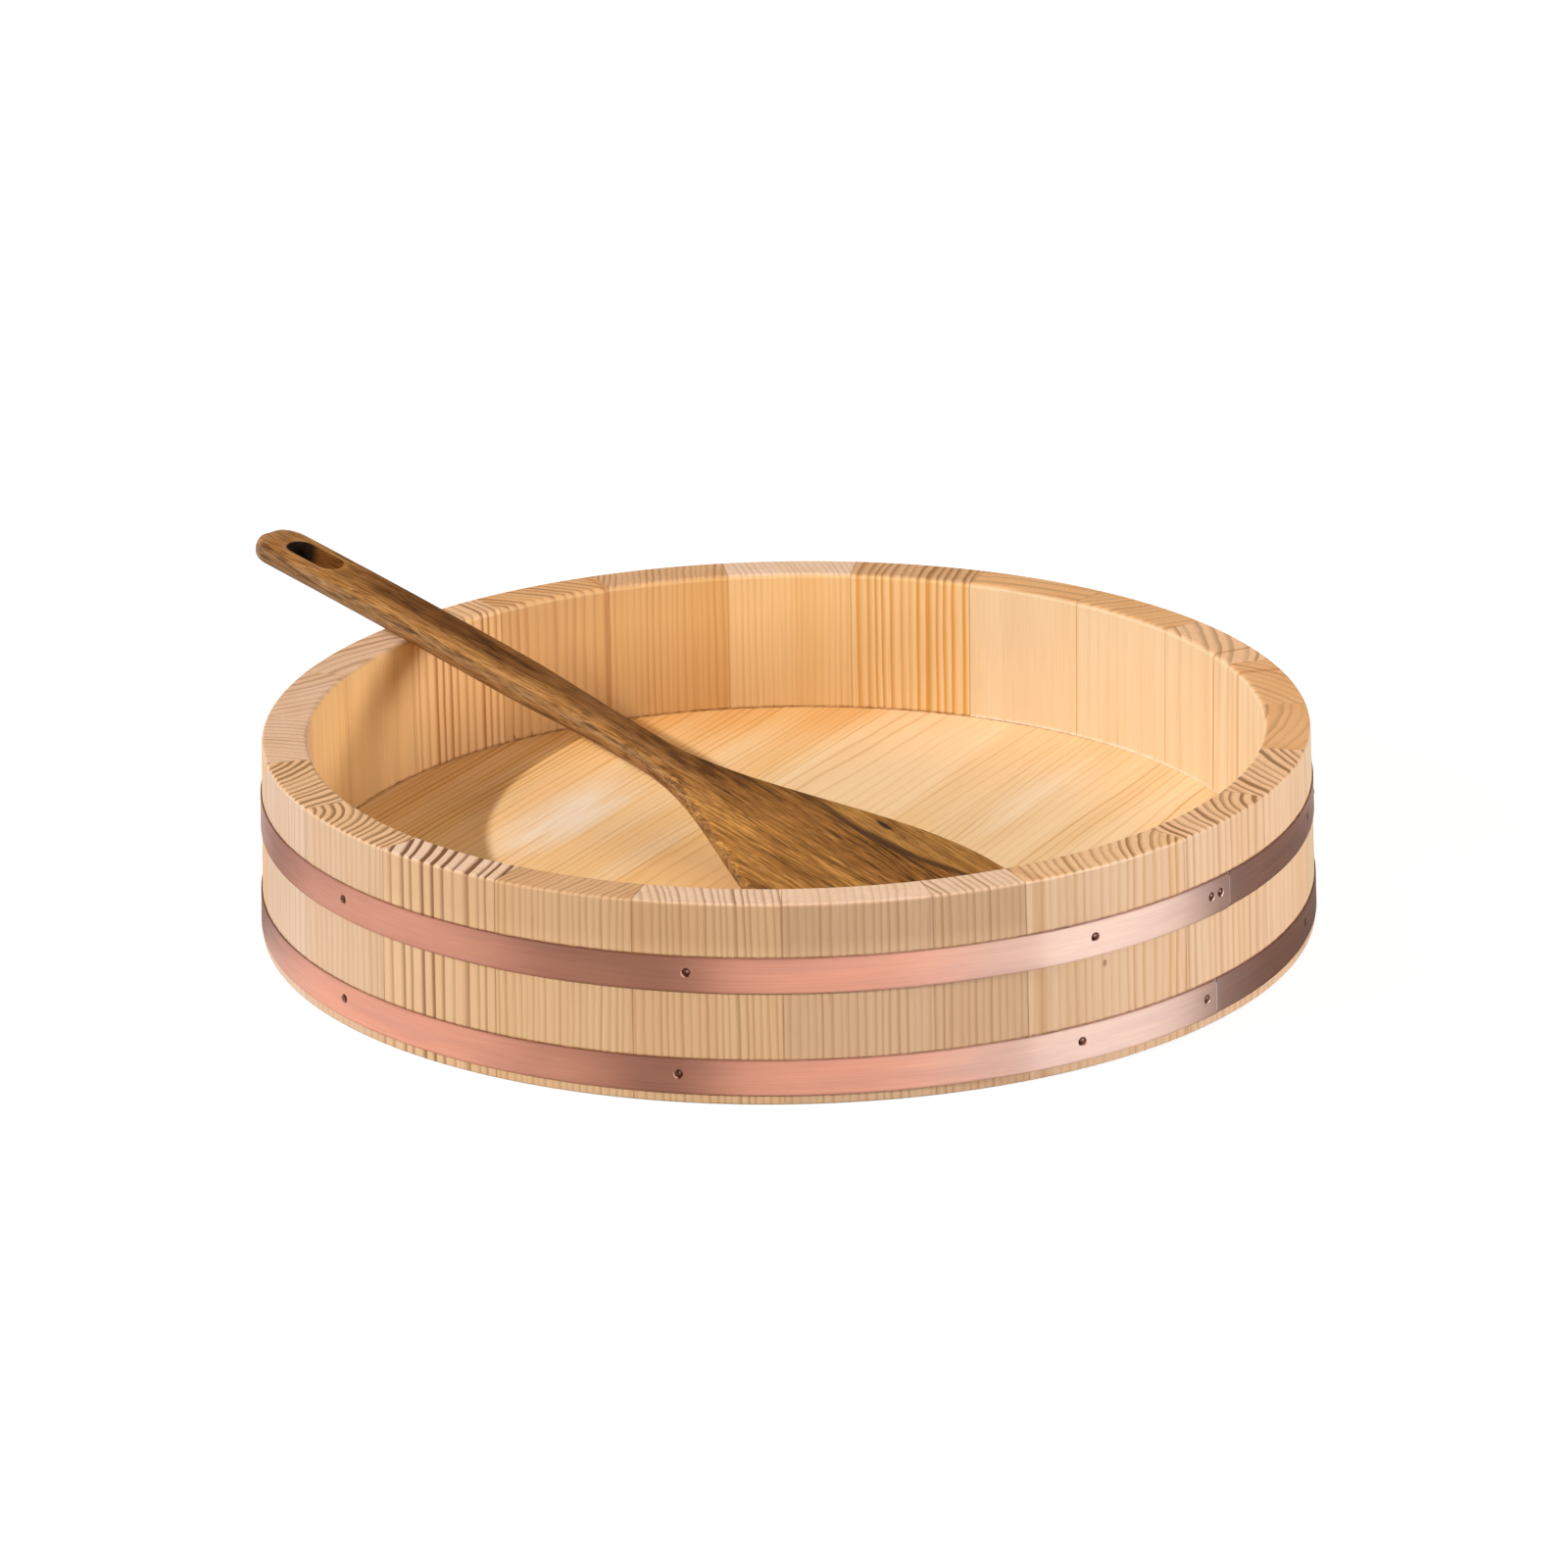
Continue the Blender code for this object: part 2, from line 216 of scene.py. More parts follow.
def mixColour(share, first, second, blend="MIX"):
    tree = treeOf(share, first, second)
    node = addNode(tree, "ShaderNodeMix", {0: share}, data_type="RGBA", blend_type=blend)
    for value, socket in ((first, node.inputs[6]), (second, node.inputs[7])):
        plug(value if isSocket(value) else (*value, 1.0), socket)
    return node.outputs[2]


def darken(share, colour, tint):
    return mixColour(share, colour, tint, "MULTIPLY")


def parts(vector):
    return addNode(vector.id_data, "ShaderNodeSeparateXYZ", {0: vector}).outputs


def joined(x, y, z):
    return addNode(x.id_data, "ShaderNodeCombineXYZ", {0: x, 1: y, 2: z}).outputs[0]


def inPiece(vector, location, rotation):
    # a place in the tub's frame, measured in the piece's own directions
    sockets = {"Vector": vector, "Location": location, "Rotation": rotation}
    return addNode(vector.id_data, "ShaderNodeMapping", sockets, vector_type="TEXTURE").outputs[0]


def noise(vector, stretch, shift, detail=2.0, roughness=0.5):
    # stretch is how often the pattern repeats in a metre, shift picks another part of it
    moved = vectorCalc("ADD", vectorCalc("MULTIPLY", vector, stretch), (shift, shift, shift))
    sockets = {"Vector": moved, "Scale": 1.0, "Detail": detail, "Roughness": roughness}
    return addNode(moved.id_data, "ShaderNodeTexNoise", sockets).outputs[0]


def lineNoise(place, detail):
    sockets = {"W": place, "Scale": 1.0, "Detail": detail}
    return addNode(place.id_data, "ShaderNodeTexNoise", sockets, noise_dimensions="1D").outputs[0]


class Look:
    # a material whose colour is laid on step by step, starting from the tint called base

    def __init__(self, name, tints):
        self.material = bpy.data.materials.new(name)
        self.material.use_nodes = True
        self.tints, self.colour = tints, tints.get("base")
        coords = addNode(self.material.node_tree, "ShaderNodeTexCoord").outputs
        self.where, self.normal = coords["Object"], coords["Normal"]

    def lay(self, tint, *shares, blend="MIX"):
        # the shares are multiplied
        tint = self.tints[tint] if isinstance(tint, str) else tint
        self.colour = mixColour(reduce(times, shares), self.colour, tint, blend)

    def stain(self, tint, *shares):
        self.lay(tint, *shares, blend="MULTIPLY")

    def finish(self, roughness, bump, shine=0.5, **settings):
        # bump is a height, its strength and its depth
        tree = self.material.node_tree
        sockets = dict(zip(("Height", "Strength", "Distance"), bump))
        settings["Normal"] = addNode(tree, "ShaderNodeBump", sockets).outputs[0]
        settings["Base Color"], settings["Roughness"] = self.colour, roughness
        settings["Specular IOR Level"] = shine
        for name, value in settings.items():
            plug(value, tree.nodes["Principled BSDF"].inputs[name])
        return self.material


# one grain recipe for all the pale softwood: rings round a pith, the grain along z

softwood = {
    "bend": (34, 34, 10), "fineBend": (190, 190, 22), "fineShare": 0.22,
    "widths": 125.0, "widthShare": 0.9,  # the rings are not all of one width
    "years": 0.21, "yearLooks": (0.72, 1.13), "ringLooks": (0.52, 1.3),
    "lateFull": 0.84, "lateStop": 0.88,
    "drift": (60, 60, 5), "driftTint": (0.93, 0.86, 0.74),
    "streak": (620, 620, 13), "streakTint": (0.80, 0.68, 0.52),
    "fibre": (2100, 2100, 42), "fibreTint": (0.94, 0.925, 0.90),
    "lateStart": 0.35, "wobble": 3.0, "pale": "straw", "late": "tan",  # where a look gives none
}
pineTints = {
    "milk": (0.94, 0.67, 0.395), "blond": (0.90, 0.635, 0.36), "apricot": (0.92, 0.595, 0.29),
    "chalk": (0.845, 0.595, 0.42), "ivory": (0.765, 0.565, 0.345), "cream": (0.79, 0.535, 0.32),
    "bone": (0.74, 0.52, 0.37), "petal": (0.80, 0.532, 0.36), "flax": (0.71, 0.472, 0.30),
    "shell": (0.86, 0.54, 0.31), "sand": (0.825, 0.52, 0.288), "straw": (0.76, 0.48, 0.26),
    "rush": (0.78, 0.52, 0.25), "drab": (0.68, 0.435, 0.25), "wheat": (0.85, 0.545, 0.235),
    "honey": (0.77, 0.492, 0.212), "fawn": (0.71, 0.418, 0.218), "tea": (0.785, 0.44, 0.20),
    "ochre": (0.69, 0.402, 0.142),
}
lateTints = {
    "tan": (0.50, 0.275, 0.115), "amber": (0.62, 0.31, 0.08), "resin": (0.50, 0.21, 0.055),
    "umber": (0.32, 0.155, 0.065),
}


def pineGrain(where, looks, seed, ringMix, pale, late):
    wood, wobble = softwood, looks.get("wobble", softwood["wobble"]) / 1000
    pithX, pithY = (v / 1000 for v in looks["pith"])
    # rings, bent a little
    x, y, z = parts(where)
    fromPithX = minus(x, timesPlus(z, looks.get("lean", 0.0), pithX))
    bend, fine = noise(where, wood["bend"], seed), noise(where, wood["fineBend"], seed)
    bent = timesPlus(minus(bend, 0.5), wobble, distance(fromPithX, minus(y, pithY)))
    bent = timesPlus(minus(fine, 0.5), wobble * wood["fineShare"], bent)
    widths = lineNoise(timesPlus(bent, wood["widths"], seed), 1.0)
    count = timesPlus(widths, wood["widthShare"], calc("DIVIDE", bent, looks["gap"] / 1000))
    within = calc("FRACT", count)
    years = lineNoise(timesPlus(count, wood["years"], seed), 2.0)
    ring = {"W": calc("ADD", calc("FLOOR", count), seed)}
    ringLook = addNode(where.id_data, "ShaderNodeTexWhiteNoise", ring, noise_dimensions="1D")
    # late wood darkens slowly and stops short; some years are stronger than others
    share = ramp(within, looks.get("lateStart", wood["lateStart"]), wood["lateFull"])
    share = times(share, fade(within, wood["lateStop"], 1.0))
    share = times(share, ramp(ringLook.outputs[0], 0.0, 1.0, *wood["ringLooks"]))
    share = times(share, ramp(years, 0.3, 0.7, *wood["yearLooks"]))
    share = calc("MINIMUM", times(share, ringMix), 1.0)
    colour = mixColour(share, pale, late)
    # slow drift of tone along the piece, thin resin streaks and fibres
    drift = noise(where, wood["drift"], seed, 3.0)
    colour = darken(ramp(drift, 0.35, 0.7, 0.0, 0.6), colour, wood["driftTint"])
    streak = noise(where, wood["streak"], seed, 3.0, 0.6)
    colour = darken(ramp(streak, 0.6, 0.78, 0.0, 0.5), colour, wood["streakTint"])
    fibre = noise(where, wood["fibre"], seed, 3.0, 0.65)
    colour = darken(fade(fibre, 0.25, 0.75), colour, wood["fibreTint"])
    roughness = timesPlus(share, -0.06, ramp(fibre, 0.2, 0.8, 0.62, 0.5))
    return colour, roughness, timesPlus(share, 0.55, times(fibre, 0.6))


# staves

staves = {
    "count": 23,
    "firstJoint": radians(-142.95),
    "closingJoint": 5,  # this joint is off the even spacing
    "closingShift": radians(-5.35),
    "jointGap": 0.00004, "edgeBevel": 0.00008,
    "rimInnerRound": 0.0018, "rimOuterRound": 0.001, "footRound": 0.0006,
    "segments": 12, "middleRadius": 0.158, "smooth": 50,
    "hoopRow": 0.0014,  # rows this far inside the hoops' edges keep the nail holes' faces there
    "seam": 0.00012,  # crack between the floor and the groove
    "pores": (1500, 1500, 300), "patches": (420, 420, 240), "waterMarks": (160, 420, 130),
}
staveTints = {
    "endLate": (0.30, 0.15, 0.068),  # late wood where the end grain shows
    "band": (0.70, 0.50, 0.30), "knot": (0.38, 0.20, 0.09), "pores": (0.80, 0.74, 0.68),
    "handled": (0.88, 0.855, 0.825), "joint": (0.55, 0.36, 0.20), "paleSeamLine": (0.86, 0.72, 0.56),
    "crack": (0.42, 0.20, 0.07), "waterMarks": (0.40, 0.22, 0.10), "dirtAndShade": (0.36, 0.22, 0.13),
}


def stave(pith, gap, face, end, rim, **special):
    return dict(special, pith=pith, gap=gap, face=face, end=end, rim=rim)


# pith in mm from the tub's axis and from the stave's middle, the rings' width in mm,
# how strongly they show on the sides and on the rim, and the rim's tint
# band is a dark line's middle and width in mm and its depth; knot is mm aside and up
# seam is how the crack over the floor shows: dark, or with a pale line along it
staveLooks = {
    1: stave((192, -78), 4.0, 0.85, 1.7, "chalk", late="umber", lateStart=0.42, wobble=1.4,
             endLate=(0.19, 0.078, 0.032), handled=0.4, seed=21.5),
    2: stave((120, -160), 2.2, 0.52, 0.6, "fawn", handled=0.6),
    3: stave((205, -190), 2.3, 0.68, 0.7, "chalk", handled=0.9),
    4: stave((140, -200), 2.5, 0.68, 0.25, "chalk", handled=1.0, pale="drab"),
    5: stave((178, -220), 2.5, 0.65, 0.65, "chalk", handled=0.9, pale="drab"),
    6: stave((184, 54), 3.0, 0.5, 0.9, "sand", late="amber", pale="cream",
             band=(-25.5, 4.0, 0.45), knot=(-3.2, 31.8)),
    7: stave((173, 27), 3.2, 0.5, 1.2, "shell", pale="cream"),
    8: stave((235, 82), 3.3, 0.2, 1.3, "shell", pale="cream"),
    9: stave((60, 20), 3.6, 0.15, 0.4, "tea", pale="ivory", seam="pale"),
    10: stave((90, -40), 3.4, 0.25, 0.45, "tea", pale="ivory", seam="pale", band=(11.8, 2.2, 0.6)),
    11: stave((60, 50), 4.0, 0.2, 0.6, "shell", pale="ivory", seam="pale", band=(-9.2, 1.2, 0.8)),
    12: stave((205, 110), 3.4, 0.1, 0.45, "tea", pale="ivory", seam="pale"),
    13: stave((60, -10), 5.0, 0.12, 0.45, "tea", pale="ivory", seam="pale"),
    14: stave((165, -150), 3.0, 1.05, 1.0, "fawn", late="amber", lateStart=0.25, wobble=3.2,
              pale="rush", outer="straw"),
    15: stave((110, 190), 2.0, 0.3, 0.3, "chalk", pale="honey", outer="sand"),
    16: stave((195, 150), 2.1, 0.42, 0.65, "fawn", late="resin", pale="ochre", outer="flax"),
    17: stave((90, 90), 3.0, 0.42, 0.8, "tea", late="resin", pale="ochre", outer="straw",
              band=(-19.6, 1.8, 0.5), waterMarks=True),
    18: stave((185, 120), 3.3, 0.95, 0.9, "shell", late="resin", lateStart=0.38, pale="wheat",
              outer="cream"),
    19: stave((70, 30), 4.2, 0.2, 0.6, "petal", pale="wheat", outer="sand"),
    20: stave((215, -60), 3.8, 0.17, 0.6, "petal", pale="wheat", outer="straw"),
    21: stave((175, 60), 3.0, 0.35, 0.6, "petal"),
    22: stave((186, -48), 3.1, 0.35, 1.5, "sand", pale="bone"),
    23: stave((173, -25), 2.9, 0.42, 1.5, "sand", pale="flax"),
}


def staveSection():
    # (radius, height) outline with the way each point faces, for pulling the ends in
    s, inner, diagonal = staves, innerRadius, 0.7
    foot, outerRim, innerRim = s["footRound"], s["rimOuterRound"], s["rimInnerRound"]
    corners = (
        (footRadius - foot, foot, foot, 4),
        (rimRadius - outerRim, wallHeight - outerRim, outerRim, 6),
        (inner + innerRim, wallHeight - innerRim, innerRim, 8),
    )
    points = [(inner, 0.0, -diagonal, -diagonal)]
    for i, (centreR, centreZ, radius, steps) in enumerate(corners):
        start = quarter * (i - 1)
        for r, z in arcPoints(centreR, centreZ, radius, start, start + quarter, steps):
            points.append((r, z, (r - centreR) / radius, (z - centreZ) / radius))
        for hoop in (hoops["lower"], hoops["upper"]) if i == 0 else ():
            for z in (hoop["foot"] + s["hoopRow"], hoop["foot"] + hoops["height"] - s["hoopRow"]):
                points.append((wallRadius(z), z, 1.0, 0.0))
    seamTop, seamBottom = floorTop + s["seam"], floorBottom - s["seam"]
    points += [
        (inner, seamTop, -diagonal, -diagonal), (grooveRadius, seamTop, 0.0, 0.0),
        (grooveRadius, seamBottom, 0.0, 0.0), (inner, seamBottom, -diagonal, diagonal),
    ]
    return points


def staveBody(width):
    bevel, count = staves["edgeBevel"], staves["segments"]
    turn = bevel / staves["middleRadius"]
    half = width / 2 - staves["jointGap"] / 2 / innerRadius
    inner = half - 3 * turn
    edge = [(0.0, bevel), (0.35 * turn, 0.3 * bevel), (turn, 0.0)]
    columns = [(-half + a, pulled) for a, pulled in edge]
    columns += [(-inner + 2 * inner * i / count, 0.0) for i in range(count + 1)]
    columns += [(half - a, pulled) for a, pulled in reversed(edge)]
    section, rings = staveSection(), []
    for angle, pulled in columns:
        pulledIn = [(r - outR * pulled, z - outZ * pulled) for r, z, outR, outZ in section]
        rings.append([roundAt(r, angle, z) for r, z in pulledIn])
    return skinRings(rings)


def staveWood(number, looks, middle, half):
    look = Look(f"stavePine_{number:02d}", staveTints)
    where = inPiece(look.where, (0, 0, 0), (0, 0, middle))
    x, y, z = parts(where)
    endGrain = ramp(calc("ABSOLUTE", parts(look.normal)[2]), 0.45, 0.9)
    outside = ramp(x, innerRadius + 0.001, innerRadius + 0.003)
    inside = minus(1.0, outside)
    # on some staves the wood is yellower inside than outside: painted warm light bounced round
    # inside the tub; the wood is paler on the rim
    paleName = looks.get("pale", softwood["pale"])
    sides = mixColour(outside, pineTints[paleName], pineTints[looks.get("outer", paleName)])
    pale = mixColour(endGrain, sides, pineTints[looks["rim"]])
    late = lateTints[looks.get("late", softwood["late"])]
    late = mixColour(times(endGrain, 0.7), late, looks.get("endLate", staveTints["endLate"]))
    ringMix = timesPlus(endGrain, looks["end"] - looks["face"], looks["face"])
    seed = looks.get("seed", 3.7 * number)
    look.colour, roughness, height = pineGrain(where, looks, seed, ringMix, pale, late)
    if "band" in looks:  # one darker line or band of late wood down the stave
        centre, width, depth = looks["band"]
        look.stain("band", fade(apart(y, centre / 1000), width / 4000, width / 1400, depth))
    if "knot" in looks:  # a pin knot, a little longer up the stave
        aside, up = looks["knot"]
        away = distance(minus(y, aside / 1000), times(minus(z, up / 1000), 0.7))
        look.stain("knot", fade(away, 0.0004, 0.0011, 0.7))
    # end grain is full of small pores
    cells = noise(where, staves["pores"], 0.9 * number, 3.0, 0.7)
    look.stain("pores", endGrain, ramp(cells, 0.42, 0.66, 0.0, 0.45))
    if "handled" in looks:  # a little browner above the upper hoop
        face = calc("MAXIMUM", minus(outside, endGrain), 0.0)
        look.stain("handled", face, ramp(z, 0.0462, 0.052, 0.0, looks["handled"]))
    # thin brown line at the joints
    toJoint = minus(half, calc("ABSOLUTE", calc("ARCTAN2", y, x)))
    look.stain("joint", fade(times(toJoint, rimRadius), 0.0001, 0.0005, 0.3))
    # the crack where the floor meets the wall
    uneven = noise(where, staves["patches"], 1.3 * number, 3.0, 0.6)
    fromSeam = apart(z, floorTop)
    if looks.get("seam") == "pale":
        # a pale line along the crack on these staves
        opened = ramp(uneven, 0.36, 0.58, 0.1, 1.0)
        look.lay("paleSeamLine", inside, opened, fade(fromSeam, 0.0005, 0.0016, 0.7))
    else:
        opened = ramp(uneven, 0.35, 0.65, 0.25, 1.0)
        look.stain("crack", inside, opened, fade(fromSeam, 0.0002, 0.001, 0.85))
    if looks.get("waterMarks"):  # a few short ones over the floor
        marks = ramp(noise(where, staves["waterMarks"], 5.1), 0.58, 0.66, 0.0, 0.75)
        look.stain("waterMarks", marks, inside, fade(z, 0.018, 0.0225), ramp(y, 0.0, 0.005))
    # dirt and painted shade in the corner over and under each hoop
    dirtAndShadeShare = times(outside, ramp(uneven, 0.3, 0.6, 0.5, 1.0))
    for hoop in (hoops["upper"], hoops["lower"]):
        for edge, depth in ((hoop["foot"] + hoops["height"], 0.8), (hoop["foot"], 0.45)):
            look.stain("dirtAndShade", dirtAndShadeShare, fade(apart(z, edge), 0.0001, 0.0006, depth))
    return look.finish(roughness, (height, 0.22, 0.0002), 0.3)


def staveJoints():
    count = staves["count"]
    joints = [staves["firstJoint"] + 2 * pi * i / count for i in range(count + 1)]
    joints[staves["closingJoint"]] += staves["closingShift"]
    return joints


def buildStaves():
    pieces = []
    joints = staveJoints()
    for i, (start, end) in enumerate(zip(joints, joints[1:])):
        number = i + 1
        middle = (start + end) / 2
        wood = staveWood(number, staveLooks[number], middle, (end - start) / 2)
        body = staveBody(end - start)
        piece = meshObject(f"planedStave_{number:02d}", body, wood, staves["smooth"])
        piece.rotation_euler.z = middle
        settle(piece)
        pieces.append(piece)
    return pieces


def staveAt(pieces, azimuth):
    joints = staveJoints()
    turned = joints[0] + (azimuth - joints[0]) % (2 * pi)
    return next(piece for piece, end in zip(pieces, joints[1:]) if turned < end)


# hoops and their nails

hoops = {
    "thickness": 0.0004, "height": 0.011, "wallGap": 0.00004, "overlapGap": 0.00005,
    "edgeRound": 0.00013, "edgeTurns": (0.0, 0.55, 1.05, 1.5708),
    "ramp": radians(6.0),
    "rampStop": radians(2.0),  # before the strip comes round to its tucked end
    "corner": 0.0012, "cornerSteps": (1.0, 0.45, 0.13),
    "tuckPastNail": radians(3.2), "nailAboveMiddle": 0.0006, "nailsRound": 8,
    "step": radians(1.0), "smooth": 25,
    "brushed": (34, 34, 5200), "clouds": (22, 22, 160),
    "upper": {
        "foot": 0.0351, "outerEnd": radians(-41.65),
        "endNails": (radians(-43.35), radians(-44.95)),
        "firstNail": radians(-61.95), "nailSpacing": radians(44.0),
    },
    "lower": {
        "foot": 0.0031, "outerEnd": radians(-44.45),
        "endNails": (radians(-46.15),),
        "firstNail": radians(-63.85), "nailSpacing": radians(43.0),
    },
}
nails = {
    "length": 0.009, "radius": 0.0006, "point": 0.00002, "pointLength": 4,  # in radii
    "headRadius": 0.00105, "headHeight": 0.0005, "headTurns": (0.25, 0.55, 0.85, 1.15, 1.4),
    "neck": 0.00012, "sides": 24, "smooth": 60, "spots": (900, 900, 900),
    "dishRadius": 0.0016, "dishDepth": 0.00032,
    "dishCurve": ((0.1, 0.1), (0.45, 0.42), (0.8, 0.75), (1.0, 1.0)),  # up, and out from the head
    "dishFlare": (0.0004, 0.0003),  # carries the cutter past the strip's face
    "holeClear": 0.00005, "holeSpare": 0.0002, "holeSeat": 0.00016,
}
# pastEnd, gap and cut are painted light at the outer end: painted shade, a painted shadow line and
# a painted highlight
copperTints = {
    "base": (0.71, 0.33, 0.218), "cool": (0.64, 0.302, 0.212), "brushed": (0.90, 0.87, 0.85),
    "edge": (0.62, 0.50, 0.46), "pastEnd": (0.5, 0.45, 0.42), "gap": (0.2, 0.15, 0.13),
    "cut": (0.95, 0.74, 0.64), "dish": (0.13, 0.09, 0.08),
}
nailTints = {"base": (0.06, 0.02, 0.012), "light": (0.25, 0.098, 0.06)}


def hoopRing(azimuth, lift, corner, foot):
    low, high = foot + corner, foot + hoops["height"] - corner
    thick, edge = hoops["thickness"], min(hoops["edgeRound"], 0.45 * (high - low))
    bends = [(edge * sin(a), edge * cos(a)) for a in hoops["edgeTurns"]]
    outline = [(low, 0.0)]
    outline += [(low + edge - cosine, thick - edge + sine) for sine, cosine in bends]
    outline += [(high - edge + sine, thick - edge + cosine) for sine, cosine in bends]
    outline += [(high, 0.0)]
    lift += hoops["wallGap"]
    return [roundAt(wallRadius(z) + lift + out, azimuth, z) for z, out in outline]


def hoopBody(sizes):
    tucked = sizes["firstNail"] - hoops["tuckPastNail"]
    total = 2 * pi + sizes["outerEnd"] - tucked
    fullLift = 2 * pi - hoops["rampStop"]
    lifted = hoops["thickness"] + hoops["overlapGap"]
    corner = hoops["corner"] / rimRadius
    steps = ceil(total / hoops["step"])

    def ringAt(sweep, lift, part=0.0):  # part is how much of the corner is cut off here
        return hoopRing(tucked + sweep, lift, hoops["corner"] * part * part, sizes["foot"])

    rings = [ringAt(corner * (1 - part), 0.0, part) for part in hoops["cornerSteps"]]
    for i in range(steps + 1):
        sweep = corner + (total - 2 * corner) * i / steps
        rings.append(ringAt(sweep, lifted * easeBetween(sweep, fullLift - hoops["ramp"], fullLift)))
    for part in reversed(hoops["cornerSteps"]):
        rings.append(ringAt(total - corner * (1 - part), lifted, part))
    return skinRings(rings), tucked, lifted


def nailHeight(sizes):
    return sizes["foot"] + hoops["height"] / 2 + hoops["nailAboveMiddle"]


def nailBody():
    n = nails
    length, radius, head, high = n["length"], n["radius"], n["headRadius"], n["headHeight"]
    profile = [(-length, n["point"]), (-length + n["pointLength"] * radius, radius)]
    profile += [(-n["neck"], radius), (0.0, head)]
    profile += [(high * sin(a), head * cos(a)) for a in n["headTurns"]]
    return turnedBody(profile + [(high, n["point"])], n["sides"])


def dishBody():
    # a shallow dish round the nail with the nail's own hole through it
    n = nails
    depth, dish, seat = n["dishDepth"], n["dishRadius"], -n["holeSeat"]
    shank, hole = n["radius"] + n["holeClear"], n["headRadius"] + n["holeClear"]
    profile = [(-n["length"] - n["holeSpare"], shank), (seat, shank), (seat, hole)]
    profile += [(up * depth, hole + out * (dish - hole)) for up, out in n["dishCurve"]]
    profile += [(depth + n["dishFlare"][0], dish + n["dishFlare"][1])]
    return turnedBody(profile, n["sides"])


def copperSheet(name, sizes):
    look = Look(name, copperTints)
    x, y, z = parts(look.where)
    brush = noise(look.where, hoops["brushed"], 2.0, 3.0, 0.7)
    clouds = noise(look.where, hoops["clouds"], 5.0, 3.0, 0.55)
    look.lay("cool", ramp(clouds, 0.35, 0.72))
    look.stain("brushed", fade(brush, 0.3, 0.75))
    # duller along both edges
    fromMiddle = apart(z, sizes["foot"] + hoops["height"] / 2)
    look.stain("edge", ramp(fromMiddle, 0.0046, 0.0056, 0.0, 0.55))
    # the outer end: a painted highlight on its cut edge, a painted shadow line past it, and painted
    # shade on the duller metal beyond
    turn = calc("ARCTAN2", y, x)
    pastEnd = times(minus(turn, sizes["outerEnd"]), rimRadius)
    beyond = ramp(pastEnd, 0.0, 0.0001)
    look.stain("pastEnd", beyond, fade(pastEnd, 0.003, 0.02, 0.3))
    look.stain("gap", beyond, fade(pastEnd, 0.0003, 0.0008, 0.85))
    look.lay("cut", ramp(pastEnd, -0.0006, -0.0003), fade(pastEnd, 0.0, 0.0001, 0.4))
    # painted shade: dark in the dish round each nail
    wheel = inUnits(turn, sizes["firstNail"], sizes["nailSpacing"])
    turnsOff = [times(minus(wheel, calc("ROUND", wheel)), sizes["nailSpacing"])]
    turnsOff += [minus(turn, azimuth) for azimuth in sizes["endNails"]]
    up, toNail = minus(z, nailHeight(sizes)), 1.0
    for off in turnsOff:
        toNail = calc("MINIMUM", distance(times(off, rimRadius), up), toNail)
    look.stain("dish", fade(toNail, 0.0011, 0.0016, 0.92))
    roughness = calc("ADD", ramp(brush, 0.25, 0.8, 0.50, 0.40), ramp(clouds, 0.3, 0.7, 0.0, 0.05))
    settings = {"Metallic": 1.0, "Anisotropic": 0.85, "Anisotropic Rotation": 0.25}
    return look.finish(roughness, (brush, 0.1, 0.00004), **settings)


def nailMetal():
    look = Look("darkNailCopper", nailTints)
    spots = noise(look.where, nails["spots"], 4.0, 3.0, 0.6)
    look.lay("light", ramp(spots, 0.35, 0.7))
    return look.finish(ramp(spots, 0.3, 0.7, 0.34, 0.5), (spots, 0.2, 0.00005), Metallic=1.0)


def buildHoop(which, stavePieces, metal):
    sizes = hoops[which]
    body, tucked, lifted = hoopBody(sizes)
    copper = copperSheet(f"{which}HoopCopper", sizes)
    strip = meshObject(f"{which}HoopStrip", body, copper, hoops["smooth"])
    azimuths = list(sizes["endNails"])
    azimuths += [sizes["firstNail"] - sizes["nailSpacing"] * i for i in range(hoops["nailsRound"])]
    height = nailHeight(sizes)
    stripCutters = []
    for i, azimuth in enumerate(azimuths):
        surface = wallRadius(height) + hoops["wallGap"] + hoops["thickness"]
        if tucked < azimuth < sizes["outerEnd"]:  # two layers of strip here
            surface += lifted
        nail = meshObject(f"{which}HoopTack_{i + 1:02d}", nailBody(), metal, nails["smooth"])
        stripCutter, staveCutter = (meshObject("nailCutter", dishBody()) for _ in range(2))
        for obj in (nail, stripCutter, staveCutter):
            obj.location = roundAt(surface - nails["dishDepth"], azimuth, height)
            obj.rotation_euler = (0, 0, azimuth)
        settle(nail)
        handOver(nail, "tub", f"{which}_hoop_nail_{i + 1:02d}")
        drill(staveAt(stavePieces, azimuth), [staveCutter], staves["smooth"])
        stripCutters.append(stripCutter)
    drill(strip, stripCutters, hoops["smooth"])
    evenNormals(strip)
    handOver(strip, "tub", f"{which}_hoop")


# floor boards

floorBoards = {
    "radius": 0.1549, "edgeBevel": 0.001, "direction": radians(55.75),
    "width": 0.068, "firstJoint": -0.096, "joints": 4,
    "jointGap": 0.00003, "jointBevel": 0.00014,
    "sideSteps": 40, "middleSteps": 24,
    "pegs": 8, "pegRadius": 0.0025, "pegLength": 0.024, "pegTaper": 0.0006,
    "pegPlaces": (-0.06, 0.06),
    "boreClear": 0.0001, "boreSpare": 0.0002, "boreSides": 20,
    "bands": (4, 75, 75), "washing": (16, 240, 240), "patches": (420, 420, 50),
    "strands": (900, 300, 900),
}
boardTints = {
    "bands": (0.93, 0.73, 0.47), "tanned": (1.0, 0.87, 0.66), "washed": (0.93, 0.78, 0.60),
    "stain": (0.48, 0.25, 0.10), "paintedPaddleShade": (0.90, 0.78, 0.60),
}
bambooTints = {"base": (0.50, 0.36, 0.18), "light": (0.70, 0.56, 0.33)}

